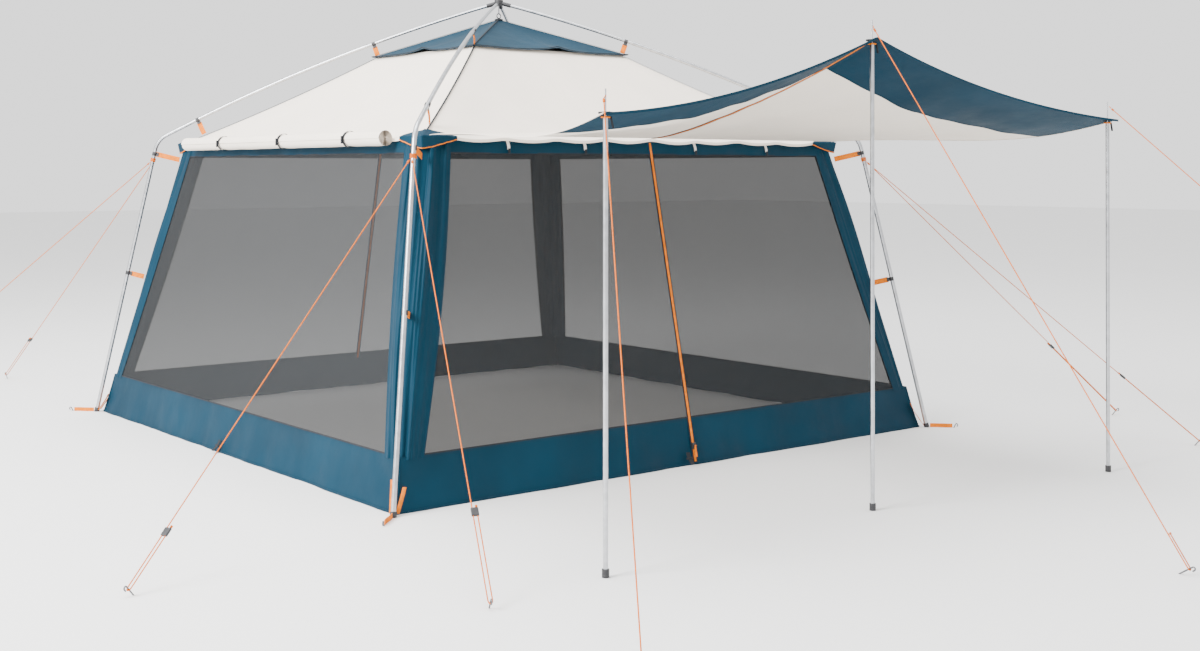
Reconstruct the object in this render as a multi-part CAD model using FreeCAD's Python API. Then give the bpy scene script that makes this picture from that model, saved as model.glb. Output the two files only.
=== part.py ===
"""Screen house: a square floorless shelter with an outside tube frame, screen walls,
a two-slope roof and one storm wall propped out as an awning on three poles.

Millimetres, +Z up. The awning side faces -Y. Everything is modelled about the centre
of the house floor, and moved along Y when it is written, so that the origin is the
bottom centre of the whole shelter without its guy lines.
"""
import FreeCAD, Part
import math
import os

V = FreeCAD.Vector
UP = V(0, 0, 1)

# ---------------------------------------------------------------- driving dimensions
FOOT_HALF = 1525.0          # leg axis at the ground, from the house centre, along X and Y
KNEE_IN = 235.0             # corner of the frame at the eave, inside its foot
KNEE_Z = 1435.0
ROOF_RISE = 701.0           # from the knees to the ends of the roof poles in the hub
ROOF_BOW = 5.0              # degrees, the roof pole leaves the knee this much steeper than its chord
WALL_BASE_IN = 25.0         # fabric wall at the ground, inside the feet
EAVE_IN = 100.0             # fabric wall at the eave, inside the knees
EAVE_DROP = 33.0            # and below them
CAP_SHARE = 0.371           # half width of the flatter peak cap, as a share of the roof's
CAP_RISE = 0.7125           # height where the cap begins, as a share of the roof's rise
PEAK_DROP = 90.0            # roof's peak below the ends of the poles

# tubes
LEG_OD = 20.0
TUBE_WALL = 1.0
ROOF_TUBE_STEP = 1.0        # roof pole thinner than the leg
TIP_TUBE_STEP = 1.0         # roof pole's tip thinner than the bore that it slides in
TUBE_CLEARANCE = 0.3        # radial, ferrules, sockets and clips on their tubes
KNEE_RADIUS = 110.0
KNEE_LEG_ARM = 170.0
KNEE_ROOF_ARM = 150.0
LEG_SPLICE = 0.5            # share of the leg tube below its splice
ROOF_TIP_PAST_CLIP = 32.0   # thick roof section's end, outside the upper clip
ROOF_TIP_OVERLAP = 80.0
FERRULE_LENGTH = 120.0

# hub
HUB_R = 22.0
HUB_HEIGHT = 26.0
HUB_SOCKET_WALL = 2.4
HUB_SOCKET_END = 62.0
HUB_TUBE_STOP = 18.0
HUB_STEM_D = 6.0

# feet and corner anchors
FOOT_WALL = 3.0
FOOT_HEIGHT = 20.0
FOOT_SEAT = 6.0
ANCHOR_LENGTH = 125.0
ANCHOR_WIDTH = 19.0
ANCHOR_THICK = 3.0
ANCHOR_GAP = 3.0

# fabric
CLOTH = 3.0
SKIRT_Z = 200.0
VALANCE_HEIGHT = 57.0
SLEEVE_TOP = 130.0          # width of the corner sleeve at the eave
SLEEVE_BASE = 105.0         # and at the top of the skirt
ROOF_OVERHANG = 15.0        # roof's edge outside the wall
ROOF_EDGE_LIFT = 4.0        # and above it
CAP_LIFT = 9.0              # vent gap between the roof and the cap above it
CAP_OVERHANG = 26.0
VENT_DROP = 24.0
ZIP_WIDTH = 24.0
ZIP_START_Z = 12.0

# rolled storm wall, left side
ROLL_R = 36.0
ROLL_END_IN = 205.0         # end of the roll, inside the roof's edge
ROLL_STANDOFF = 8.0
ROLL_TIES = (550.0, -90.0, -700.0)
ROLL_TIE_WIDTH = 16.0
ROLL_TIE_THICK = 2.5
TIE_TOGGLE_D = 9.0
TIE_TOGGLE_LENGTH = 34.0
FRONT_TIES = (-785.0, -380.0, 264.0, 724.0)
FRONT_TIE_DROP = 62.0
FRONT_TIE_STANDOFF = 2.0

# clips that hang the cloth from the tubes
CLIP_WALL = 2.6
CLIP_WIDTH = 18.0
CLIP_MOUTH = 100.0          # degrees left open
CLIP_STEM = 12.0
CLIP_STEM_THICK = 6.0
WEB_WIDTH = 26.0
WEB_THICK = 2.0
WEB_GAP = 2.0
TAB_GAP = 0.4               # from a clip's stem to its webbing tab
TAB_STOP = 3.5              # from the end of a tab to its anchor on the cloth
UPPER_CLIP_OUT = 26.0       # outside the cap's corner, along the diagonal
LOWER_CLIP_IN = 99.0        # inside the roof's corner, along the diagonal
MID_CLIP_SHARE = 0.512      # height as a share of the knee's
TOP_CLIP_DROP = 40.0        # below the eave

# awning
AWNING_EAVE_IN = 55.0       # end of the awning's seam, inside the roof's edge
AWNING_EAVE_GAP = 14.0      # in front of the roof edge
AWNING_EAVE_LIFT = 14.0     # above it
AWNING_CLOTH = 4.0
AWNING_SAG_LEFT = 55.0
AWNING_SAG_RIGHT = 40.0
AWNING_SCALLOP = 35.0
AWNING_RISE_POWER = 1.5     # of the cloth's rise along the middle pole's line
AWNING_RISE_EASE = 0.4      # taken off that power at the two side poles
AWNING_COLUMNS = 24
AWNING_ROWS = 10
AWNING_HEM = 22.0           # cloth beyond the grommet centres

AWNING_REACH = {            # grommet: outside the seam's end (or across), in front of the roof edge, above it
    "left": (265.0, 1428.0, 52.0),
    "middle": (-62.0, 1345.0, 360.0),
    "right": (112.0, 1495.0, 86.0),
}
AWNING_POLE_OD = 16.0
AWNING_POLE_WALL = 1.2
AWNING_FOOT_HEIGHT = 26.0
AWNING_FOOT_WALL = 4.0
AWNING_FOOT_BASE = 6.0
SPIKE_D = 5.0
SPIKE_LENGTH = 74.0
SPIKE_SEAT = 30.0
SHOULDER_GAP = 8.0          # pole top below the grommet
GROMMET_OD = 30.0
GROMMET_ID = 13.0
GROMMET_LIP = 1.5

# door zips
SLIDER_WIDTH = 16.0
SLIDER_DEPTH = 9.0
SLIDER_HEIGHT = 28.0
SLIDER_GAP = 0.5
SLIDER_REST_Z = 78.0
PULL_WIDTH = 9.0
PULL_THICK = 2.0
PULL_LENGTH = 48.0
PULL_PIN_D = 3.0
PULL_PIN_HOLE_CLEARANCE = 0.1
PULL_EAR = 2.5

# guy lines
CORD_D = 4.0
COLLAR_THICK = 3.2
COLLAR_HEIGHT = 14.0
COLLAR_DROP = 108.0         # below the knee's corner, along the leg
CORNER_KNOT_GAP = 10.5      # from the collar to the knot
CORNER_GUYS = {             # corner, peg outside its foot along X and Y, slider's distance from the peg
    "front_left_side": ("front_left", (1135.0, 380.0), 190.0),
    "front_left_front": ("front_left", (365.0, 1165.0), 300.0),
    "front_right_side": ("front_right", (1060.0, 380.0), 490.0),
    "front_right_front": ("front_right", (590.0, 1105.0), 420.0),
    "back_left_side": ("back_left", (1190.0, 150.0), 360.0),
    "back_left_back": ("back_left", (-5.0, 1565.0), 390.0),
}
AWNING_GUYS = {             # pole, peg from the pole along X and Y
    "awning_left": ("left", (-660.0, -977.0)),
    "awning_middle": ("middle", (92.0, -1215.0)),
    "awning_right": ("right", (688.0, -1480.0)),
}
AWNING_KNOT_START = 22.0
AWNING_RETURN = 110.0       # tail of an awning guy line behind its peg
AWNING_GUY_LIFT = 60.0      # line of the cord above the cloth, at the spike
KNOT_D = 9.0
KNOT_LENGTH = 16.0
END_KNOT_LENGTH = 10.0
PEG_D = 5.0
PEG_HOOK_R = 5.5
PEG_NECK = 12.0             # shaft between the cord and the hook
PEG_TAIL = 7.0
WRAP_Z = 24.0               # height at which a cord rounds its peg
LOOP_R = 7.0                # centre line of the cord's loop round its peg
CORD_PLAY = 0.1
TENSIONER_WIDTH = 24.0
TENSIONER_LENGTH = 30.0
TENSIONER_THICK = 9.0
TENSIONER_PLAY = 0.35

GROMMET_ACROSS = {"left": -1.0, "middle": 0.0, "right": 1.0}
CORNERS = {"front_left": 225.0, "front_right": 315.0, "back_right": 45.0, "back_left": 135.0}
SIDES = {"front": 0.0, "right": 90.0, "back": 180.0, "left": 270.0}
DOOR_SIDES = ("front", "back")
BIG = 8000.0                # larger than the guy lines reach, for cutting blocks

# ---------------------------------------------------------------- derived places
ROOT2 = math.sqrt(2.0)
LEG_ID = LEG_OD - 2 * TUBE_WALL
ROOF_OD = LEG_OD - ROOF_TUBE_STEP
ROOF_ID = ROOF_OD - 2 * TUBE_WALL
ROOF_TIP_OD = ROOF_ID - TIP_TUBE_STEP
ROOF_TIP_ID = ROOF_TIP_OD - 2 * TUBE_WALL
HUB_SOCKET_OD = ROOF_TIP_OD + 2 * HUB_SOCKET_WALL
FOOT_OD = LEG_OD + 2 * FOOT_WALL
COLLAR_OD = LEG_OD + 2 * (TUBE_CLEARANCE + COLLAR_THICK)
CORNER_KNOT_START = COLLAR_OD / 2 + CORNER_KNOT_GAP
AWNING_POLE_ID = AWNING_POLE_OD - 2 * AWNING_POLE_WALL
AWNING_FOOT_OD = AWNING_POLE_OD + 2 * AWNING_FOOT_WALL
KNEE_HALF = FOOT_HALF - KNEE_IN
HUB_Z = KNEE_Z + ROOF_RISE
FOOT_R = FOOT_HALF * ROOT2
KNEE_R = KNEE_HALF * ROOT2
WALL_BASE_HALF = FOOT_HALF - WALL_BASE_IN
EAVE_HALF = KNEE_HALF - EAVE_IN
EAVE_Z = KNEE_Z - EAVE_DROP
VALANCE_Z = EAVE_Z - VALANCE_HEIGHT
ROOF_EAVE_HALF = EAVE_HALF + ROOF_OVERHANG
ROOF_EAVE_Z = EAVE_Z + ROOF_EDGE_LIFT
PEAK_Z = HUB_Z - PEAK_DROP
CAP_HALF = ROOF_EAVE_HALF * CAP_SHARE
CAP_Z = ROOF_EAVE_Z + (PEAK_Z - ROOF_EAVE_Z) * CAP_RISE
ROOF_PITCH_AT_KNEE = math.degrees(math.atan2(HUB_Z - KNEE_Z, KNEE_R)) + ROOF_BOW
UPPER_CLIP_R = CAP_HALF * ROOT2 + UPPER_CLIP_OUT
LOWER_CLIP_R = ROOF_EAVE_HALF * ROOT2 - LOWER_CLIP_IN
MID_CLIP_Z = KNEE_Z * MID_CLIP_SHARE
TOP_CLIP_Z = EAVE_Z - TOP_CLIP_DROP
ROOF_TIP_START = UPPER_CLIP_R + ROOF_TIP_PAST_CLIP
ROLL_HALF_LENGTH = ROOF_EAVE_HALF - ROLL_END_IN
AWNING_EAVE_HALF = ROOF_EAVE_HALF - AWNING_EAVE_IN
AWNING_EAVE_Z = ROOF_EAVE_Z + AWNING_EAVE_LIFT
AWNING_POLES = {
    name: (GROMMET_ACROSS[name] * AWNING_EAVE_HALF + (-x if name == "left" else x),
           -ROOF_EAVE_HALF - y, ROOF_EAVE_Z + z)
    for name, (x, y, z) in AWNING_REACH.items()
}
FRONT_REACH = max(-y for x, y, z in AWNING_POLES.values()) + AWNING_FOOT_OD / 2
BACK_REACH = (FOOT_R + ANCHOR_LENGTH + ANCHOR_THICK / 2) / ROOT2
HOUSE_Y = (FRONT_REACH - BACK_REACH) / 2
WALL_TILT = math.degrees(math.atan2(WALL_BASE_HALF - EAVE_HALF, EAVE_Z))
PEG_IN_LOOP = LOOP_R - (PEG_D + CORD_D) / 2 - CORD_PLAY


def unit(v):
    """A copy of v with length one."""
    return v * (1.0 / v.Length)


def rod(start, end, diameter):
    """Solid round bar between two points."""
    axis = end.sub(start)
    return Part.makeCylinder(diameter / 2, axis.Length, start, axis)


def tube(start, end, outer, inner):
    """Open tube between two points."""
    return rod(start, end, outer).cut(rod(start, end, inner))


def block(x0, x1, y0, y1, z0, z1):
    """Box from its limits."""
    return Part.makeBox(x1 - x0, y1 - y0, z1 - z0, V(x0, y0, z0))


def turned(shape, degrees):
    """A copy turned about the mast line."""
    copy = shape.copy()
    copy.rotate(V(0, 0, 0), UP, degrees)
    return copy


def above_ground(shape):
    """The part of a shape above the ground."""
    return shape.cut(block(-BIG, BIG, -BIG, BIG, -BIG, 0.0))


def bent_rod(centre, radius, start_dir, axis, degrees, diameter):
    """Solid round bar along an arc that starts at centre + start_dir * radius."""
    start = centre + start_dir * radius
    tangent = axis.cross(start_dir)
    section = Part.Face(Part.Wire(Part.makeCircle(diameter / 2, start, tangent)))
    return section.revolve(centre, axis, degrees)


def framed(shape, origin, x_axis, z_axis):
    """Place a shape drawn about the local origin on the given axes."""
    y_axis = z_axis.cross(x_axis)
    rotation = FreeCAD.Rotation(x_axis, y_axis, z_axis, "ZXY")
    copy = shape.copy()
    copy.Placement = FreeCAD.Placement(origin, rotation).multiply(copy.Placement)
    return copy


def flat_solid(faces):
    """Closed solid from lists of corner points, one list per flat face."""
    polygons = [Part.Face(Part.makePolygon(points + points[:1])) for points in faces]
    return Part.Solid(Part.makeShell(polygons))


# ---------------------------------------------------------------- frame, one corner in XZ
FOOT = V(FOOT_R, 0, 0)
KNEE = V(KNEE_R, 0, KNEE_Z)
LEG_DIR = unit(KNEE - FOOT)
ROOF_DIR = V(-math.cos(math.radians(ROOF_PITCH_AT_KNEE)), 0, math.sin(math.radians(ROOF_PITCH_AT_KNEE)))
KNEE_TURN = math.degrees(LEG_DIR.getAngle(ROOF_DIR))
KNEE_TANGENT = KNEE_RADIUS * math.tan(math.radians(KNEE_TURN / 2))
KNEE_FOOT_END = KNEE - LEG_DIR * KNEE_LEG_ARM
KNEE_ROOF_END = KNEE + ROOF_DIR * KNEE_ROOF_ARM
INTO_BOW = V(-ROOF_DIR.z, 0, ROOF_DIR.x)


def bow():
    """Centre and radius of the roof pole's arc, tangent to the knee and ending in the hub."""
    chord = V(0, 0, HUB_Z) - KNEE_ROOF_END
    radius = chord.Length ** 2 / (2 * chord.dot(INTO_BOW))
    return KNEE_ROOF_END + INTO_BOW * radius, radius


BOW_CENTRE, BOW_R = bow()


def bow_angle_at(r):
    """Angle on the bow, from +X towards +Z, where it is r from the mast line."""
    return math.acos((r - BOW_CENTRE.x) / BOW_R)


def bow_point(angle):
    return BOW_CENTRE + V(math.cos(angle), 0, math.sin(angle)) * BOW_R


def bow_tangent(angle):
    """Along the bow towards the hub."""
    return V(-math.sin(angle), 0, math.cos(angle))


def bow_rod(angle_low, angle_high, diameter):
    start_dir = V(math.cos(angle_low), 0, math.sin(angle_low))
    turn = math.degrees(angle_high - angle_low)
    return bent_rod(BOW_CENTRE, BOW_R, start_dir, V(0, -1, 0), turn, diameter)


BOW_KNEE = bow_angle_at(KNEE_ROOF_END.x)
BOW_TIP = bow_angle_at(ROOF_TIP_START)
BOW_OVERLAP = BOW_TIP - ROOF_TIP_OVERLAP / BOW_R
BOW_SOCKET = bow_angle_at(HUB_SOCKET_END)
BOW_STOP = bow_angle_at(HUB_TUBE_STOP)


def leg():
    """Two leg tubes, one above the other."""
    low = FOOT + LEG_DIR * FOOT_SEAT
    middle = low + (KNEE_FOOT_END - low) * LEG_SPLICE
    lower = tube(low, middle, LEG_OD, LEG_ID)
    upper = tube(middle, KNEE_FOOT_END, LEG_OD, LEG_ID)
    return [lower, upper]


def leg_foot():
    """Moulded cap on the leg's end, flat on the ground."""
    body = rod(FOOT - LEG_DIR * FOOT_OD, FOOT + LEG_DIR * FOOT_HEIGHT, FOOT_OD)
    seat = rod(FOOT + LEG_DIR * FOOT_SEAT, FOOT + LEG_DIR * FOOT_HEIGHT, LEG_OD)
    return above_ground(body.cut(seat))


def knee():
    """Bent tube that joins the leg to the roof pole."""
    low = KNEE - LEG_DIR * KNEE_TANGENT
    high = KNEE + ROOF_DIR * KNEE_TANGENT
    centre = low + V(-LEG_DIR.z, 0, LEG_DIR.x) * KNEE_RADIUS
    start_dir = V(LEG_DIR.z, 0, -LEG_DIR.x)

    def whole(diameter):
        bend = bent_rod(centre, KNEE_RADIUS, start_dir, V(0, -1, 0), KNEE_TURN, diameter)
        stubs = [rod(KNEE_FOOT_END, low, diameter), rod(high, KNEE_ROOF_END, diameter)]
        return bend.multiFuse(stubs)

    return whole(LEG_OD).cut(whole(LEG_ID))


def roof_pole():
    """Thick lower section of the bowed roof pole."""
    return bow_rod(BOW_KNEE, BOW_TIP, ROOF_OD).cut(bow_rod(BOW_KNEE, BOW_TIP, ROOF_ID))


def roof_tip():
    """Thin upper section, from inside the thick one to the hub."""
    return bow_rod(BOW_OVERLAP, BOW_STOP, ROOF_TIP_OD).cut(bow_rod(BOW_OVERLAP, BOW_STOP, ROOF_TIP_ID))


def ferrules():
    """Inner sleeves at the leg splice and at both ends of the knee."""
    low = FOOT + LEG_DIR * FOOT_SEAT
    middle = low + (KNEE_FOOT_END - low) * LEG_SPLICE
    half = FERRULE_LENGTH / 2
    leg_fit = LEG_ID - 2 * TUBE_CLEARANCE
    roof_fit = ROOF_ID - 2 * TUBE_CLEARANCE
    pieces = []
    for place in (middle, KNEE_FOOT_END):
        pieces.append(rod(place - LEG_DIR * half, place + LEG_DIR * half, leg_fit))
    pieces.append(rod(KNEE_ROOF_END - ROOF_DIR * half, KNEE_ROOF_END + ROOF_DIR * half, roof_fit))
    return pieces


def hub():
    """Four-way moulded hub with a socket for each roof pole."""
    body = Part.makeCylinder(HUB_R, HUB_HEIGHT, V(0, 0, HUB_Z - HUB_HEIGHT / 2))
    mouth = bow_point(BOW_SOCKET)
    tangent = bow_tangent(BOW_SOCKET)
    socket = rod(mouth, mouth + tangent * (HUB_SOCKET_END - HUB_R / 2), HUB_SOCKET_OD)
    bore = bow_rod(BOW_SOCKET - ROOF_TIP_OVERLAP / BOW_R, BOW_STOP, ROOF_TIP_OD + 2 * TUBE_CLEARANCE)
    body = body.multiFuse([turned(socket, a) for a in CORNERS.values()])
    for angle in CORNERS.values():
        body = body.cut(turned(bore, angle))
    return body


def peak_hook():
    """Steel eye stem under the hub that carries the top of the roof."""
    top = V(0, 0, HUB_Z - HUB_HEIGHT / 2)
    eye_r = HUB_STEM_D * 2
    eye_centre = V(0, 0, PEAK_Z + CLOTH + eye_r + HUB_STEM_D)
    eye = Part.makeTorus(eye_r, HUB_STEM_D / 2, eye_centre, V(0, 1, 0))
    return eye.fuse(rod(eye_centre + UP * eye_r, top, HUB_STEM_D))


# ---------------------------------------------------------------- clips and webbing
def clip(tube_od):
    """C-shaped clip about the local Z axis, with its stem along local X."""
    inner = tube_od / 2 + TUBE_CLEARANCE
    outer = inner + CLIP_WALL
    ring = Part.makeCylinder(outer, CLIP_WIDTH, V(0, 0, -CLIP_WIDTH / 2))
    stem = block(inner + CLIP_WALL / 2, outer + CLIP_STEM, -CLIP_STEM_THICK / 2, CLIP_STEM_THICK / 2,
                 -CLIP_WIDTH / 2, CLIP_WIDTH / 2)
    ring = ring.fuse(stem).cut(Part.makeCylinder(inner, CLIP_WIDTH, V(0, 0, -CLIP_WIDTH / 2)))
    half_mouth = math.radians(CLIP_MOUTH / 2)
    reach = 2 * outer
    side = reach * math.tan(half_mouth)
    low = V(0, 0, -CLIP_WIDTH)
    wedge = Part.Face(Part.makePolygon([low, low + V(-reach, -side, 0), low + V(-reach, side, 0), low]))
    return ring.cut(wedge.extrude(V(0, 0, 2 * CLIP_WIDTH)))


def clip_end(tube_od):
    """Distance from the tube's axis to the end of the clip's stem."""
    return tube_od / 2 + TUBE_CLEARANCE + CLIP_WALL + CLIP_STEM


def wall_r(z):
    """Diagonal distance of the fabric corner from the mast line."""
    share = z / EAVE_Z
    return (WALL_BASE_HALF + (EAVE_HALF - WALL_BASE_HALF) * share) * ROOT2


def hung(tube_od, centre, axis, anchor):
    """A clip at centre on a tube along axis, and the webbing from it to the anchor."""
    pull = anchor - centre
    pull = unit(pull - axis * pull.dot(axis))
    piece = framed(clip(tube_od), centre, pull, axis)
    start = centre + pull * (clip_end(tube_od) + TAB_GAP)
    length = (anchor - start).dot(pull) - TAB_STOP
    strap = block(0, length, -WEB_WIDTH / 2, WEB_WIDTH / 2, -WEB_THICK / 2, WEB_THICK / 2)
    strap = framed(strap, start, pull, V(0, 1, 0))
    return piece, strap


def corner_clips():
    """The four clips of one corner with their webbing: two on the roof pole, two on the leg."""
    found = []
    angle = bow_angle_at(UPPER_CLIP_R)
    upper_anchor = V(CAP_HALF * ROOT2, 0, CAP_Z + CAP_LIFT + CLOTH)
    found.append(hung(ROOF_TIP_OD, bow_point(angle), bow_tangent(angle), upper_anchor))
    angle = bow_angle_at(LOWER_CLIP_R)
    lower_anchor = V(LOWER_CLIP_R - CLIP_WIDTH, 0, roof_z(LOWER_CLIP_R - CLIP_WIDTH) + CLOTH)
    found.append(hung(ROOF_OD, bow_point(angle), bow_tangent(angle), lower_anchor))
    for z in (MID_CLIP_Z, TOP_CLIP_Z):
        centre = FOOT + LEG_DIR * (z / LEG_DIR.z)
        anchor = V(wall_r(z) + WEB_GAP, 0, z)
        found.append(hung(LEG_OD, centre, LEG_DIR, anchor))
    return found


def roof_z(r):
    """Height of the roof's hip at the diagonal distance r."""
    share = (r - CAP_HALF * ROOT2) / ((ROOF_EAVE_HALF - CAP_HALF) * ROOT2)
    return CAP_Z + (ROOF_EAVE_Z - CAP_Z) * share


def corner_anchor():
    """Webbing that stands on its edge, from a foot to its corner peg."""
    start = FOOT_R + FOOT_OD / 2 + ANCHOR_GAP
    return block(start, FOOT_R + ANCHOR_LENGTH, -ANCHOR_THICK / 2, ANCHOR_THICK / 2, 0, ANCHOR_WIDTH)


# ---------------------------------------------------------------- fabric
def square_frustum(half_low, z_low, half_high, z_high):
    """Square frustum about the mast line."""
    def ring(half, z):
        return [V(-half, -half, z), V(half, -half, z), V(half, half, z), V(-half, half, z)]

    low = ring(half_low, z_low)
    high = ring(half_high, z_high)
    faces = [low[::-1], high]
    for i in range(4):
        j = (i + 1) % 4
        faces.append([low[i], low[j], high[j], high[i]])
    return flat_solid(faces)


def pyramid(half, z, peak_z):
    """Square pyramid about the mast line."""
    ring = [V(-half, -half, z), V(half, -half, z), V(half, half, z), V(-half, half, z)]
    peak = V(0, 0, peak_z)
    return flat_solid([ring[::-1]] + [[ring[i], ring[(i + 1) % 4], peak] for i in range(4)])


def wall_half(z):
    return WALL_BASE_HALF + (EAVE_HALF - WALL_BASE_HALF) * z / EAVE_Z


def wall_shell(z_low, z_high):
    """All four walls between two heights."""
    outer = square_frustum(wall_half(z_low), z_low, wall_half(z_high), z_high)
    inset = CLOTH / math.cos(math.radians(WALL_TILT))
    inner = square_frustum(wall_half(z_low) - inset, z_low, wall_half(z_high) - inset, z_high)
    return outer.cut(inner)


def sleeve_width(z):
    share = (z - SKIRT_Z) / (EAVE_Z - SKIRT_Z)
    return SLEEVE_BASE + (SLEEVE_TOP - SLEEVE_BASE) * share


def window(z_low, z_high, side):
    """Block through one wall, between its corner sleeves."""
    def half(z):
        return wall_half(z) - sleeve_width(z)

    corners = [V(-half(z_low), -BIG, z_low), V(half(z_low), -BIG, z_low),
               V(half(z_high), -BIG, z_high), V(-half(z_high), -BIG, z_high)]
    face = Part.Face(Part.makePolygon(corners + corners[:1]))
    return turned(face.extrude(V(0, BIG, 0)), SIDES[side])


def zip_slot(side):
    """Block through one wall where its door zip runs."""
    half = ZIP_WIDTH / 2
    return turned(block(-half, half, -BIG, 0, ZIP_START_Z, EAVE_Z), SIDES[side])


def door_cut(shape, side):
    """The shape with the door zip taken out of it, if that side has a door."""
    return shape.cut(zip_slot(side)) if side in DOOR_SIDES else shape


def quarter(side):
    """Wedge that holds one side of the house, out to the two diagonals."""
    points = [V(0, 0, 0), V(BIG, -BIG, 0), V(-BIG, -BIG, 0), V(0, 0, 0)]
    wedge = Part.Face(Part.makePolygon(points)).extrude(V(0, 0, BIG))
    return turned(wedge, SIDES[side])


def panels(shell):
    """The sewn panels of a shell, one for each side of the house that it has cloth on."""
    return [shell.common(quarter(side)) for side in SIDES]


def skirt(side):
    """Heavy cloth band at the foot of one wall."""
    return door_cut(wall_shell(0, SKIRT_Z).common(quarter(side)), side)


def mesh(side):
    """Screen panel of one wall, in two leaves where it has a door."""
    return door_cut(wall_shell(SKIRT_Z, VALANCE_Z).common(window(SKIRT_Z, VALANCE_Z, side)), side)


def valance(side):
    """Cloth strip between the screen and the roof edge."""
    return door_cut(wall_shell(VALANCE_Z, EAVE_Z).common(window(VALANCE_Z, EAVE_Z, side)), side)


def zip_tape(side):
    return wall_shell(ZIP_START_Z, EAVE_Z).common(zip_slot(side))


def sleeve(corner):
    """Cloth sleeve that wraps one corner above the skirt."""
    shell = wall_shell(SKIRT_Z, EAVE_Z)
    for side in SIDES:
        shell = shell.cut(window(SKIRT_Z, EAVE_Z, side))
    keep = turned(block(0, BIG, 0, BIG, 0, BIG), CORNERS[corner] - 45.0)
    return panels(shell.common(keep))


def roof_canopy():
    """Lower, steeper part of the roof, open at the top for the vent."""
    outer = square_frustum(ROOF_EAVE_HALF, ROOF_EAVE_Z, CAP_HALF, CAP_Z)
    inner = square_frustum(ROOF_EAVE_HALF - CLOTH, ROOF_EAVE_Z - CLOTH, CAP_HALF - CLOTH, CAP_Z - CLOTH)
    below = block(-BIG, BIG, -BIG, BIG, ROOF_EAVE_Z - 2 * CLOTH, ROOF_EAVE_Z)
    above = block(-CAP_HALF + CLOTH, CAP_HALF - CLOTH, -CAP_HALF + CLOTH, CAP_HALF - CLOTH,
                  CAP_Z - 2 * CLOTH, CAP_Z + CLOTH)
    return panels(outer.cut(inner).cut(below).cut(above))


def vent_cap():
    """Flatter cap over the top of the roof, standing clear of it as a vent."""
    half = CAP_HALF + CAP_OVERHANG
    slope = (PEAK_Z - CAP_Z - CAP_LIFT) / CAP_HALF
    low = CAP_Z + CAP_LIFT - CAP_OVERHANG * slope
    drop = UP * -CLOTH
    outer = pyramid(half, low, PEAK_Z)
    inner = outer.copy()
    inner.translate(drop)
    return panels(outer.cut(inner))


def vent_mesh():
    """Screen under the cap that closes the roof's top opening."""
    half = CAP_HALF - CLOTH - WEB_GAP
    low = CAP_Z - VENT_DROP
    outer = pyramid(half, low, PEAK_Z - 2 * VENT_DROP)
    inner = outer.copy()
    inner.translate(UP * -CLOTH)
    return outer.cut(inner)


# ---------------------------------------------------------------- rolled wall and ties
def roll_axis():
    """X and Z of the rolled wall's centre line."""
    return -(ROOF_EAVE_HALF + ROLL_STANDOFF + ROLL_R), ROOF_EAVE_Z


def rolled_wall():
    x, z = roll_axis()
    return rod(V(x, -ROLL_HALF_LENGTH, z), V(x, ROLL_HALF_LENGTH, z), 2 * ROLL_R)


def roll_tie(y):
    """Strap round the rolled wall, and its toggle on the outside."""
    x, z = roll_axis()
    inner = ROLL_R + WEB_GAP / 2
    outer = inner + ROLL_TIE_THICK
    low = V(x, y - ROLL_TIE_WIDTH / 2, z)
    high = V(x, y + ROLL_TIE_WIDTH / 2, z)
    band = tube(low, high, 2 * outer, 2 * inner)
    out = x - outer - TIE_TOGGLE_D / 2 - WEB_GAP / 2
    toggle = rod(V(out, y, z - TIE_TOGGLE_LENGTH / 2), V(out, y, z + TIE_TOGGLE_LENGTH / 2), TIE_TOGGLE_D)
    return [band, toggle]


def front_tie(x):
    """Strap that hangs unused on the front valance, with its toggle at the end."""
    half = ROLL_TIE_WIDTH / 2
    strap = block(-half, half, -ROLL_TIE_THICK, 0, -FRONT_TIE_DROP, 0)
    centre = V(0, -TIE_TOGGLE_D / 2, 0)
    toggle = rod(centre - UP * (FRONT_TIE_DROP + WEB_GAP),
                 centre - UP * (FRONT_TIE_DROP + TIE_TOGGLE_LENGTH), TIE_TOGGLE_D)
    start = V(x, -EAVE_HALF - FRONT_TIE_STANDOFF, EAVE_Z - WEB_GAP)
    placed = []
    for piece in (strap, toggle):
        piece.rotate(V(0, 0, 0), V(1, 0, 0), -WALL_TILT)
        piece.translate(start)
        placed.append(piece)
    return placed


# ---------------------------------------------------------------- awning
def awning_point(across, out):
    """A point of the awning's upper face. across is -1, 0 and 1 on the lines of the three poles;
    out is 0 at the eave and 1 on the line through the grommets."""
    eave_y = -(ROOF_EAVE_HALF + AWNING_EAVE_GAP)
    name, sag = ("left", AWNING_SAG_LEFT) if across < 0 else ("right", AWNING_SAG_RIGHT)
    side = V(*AWNING_POLES[name])
    middle = V(*AWNING_POLES["middle"])
    share = abs(across)
    hang = 4 * share * (1 - share)
    edge = middle + (side - middle) * share
    edge = edge + V(0, AWNING_SCALLOP * hang, -sag * hang)
    start = V(across * AWNING_EAVE_HALF, eave_y, AWNING_EAVE_Z)
    rise = out ** (AWNING_RISE_POWER - AWNING_RISE_EASE * share)
    return V(start.x + (edge.x - start.x) * out, start.y + (edge.y - start.y) * out,
             start.z + (edge.z - start.z) * rise)


def awning_normal(across, out):
    """Upward normal of the awning at a point, from two short steps along the sheet."""
    step = 0.01
    here = awning_point(across, out)
    inward = here - awning_point(across, out - step)
    return unit(here.sub(awning_point(across - step, out)).cross(inward) * -1)


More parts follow.
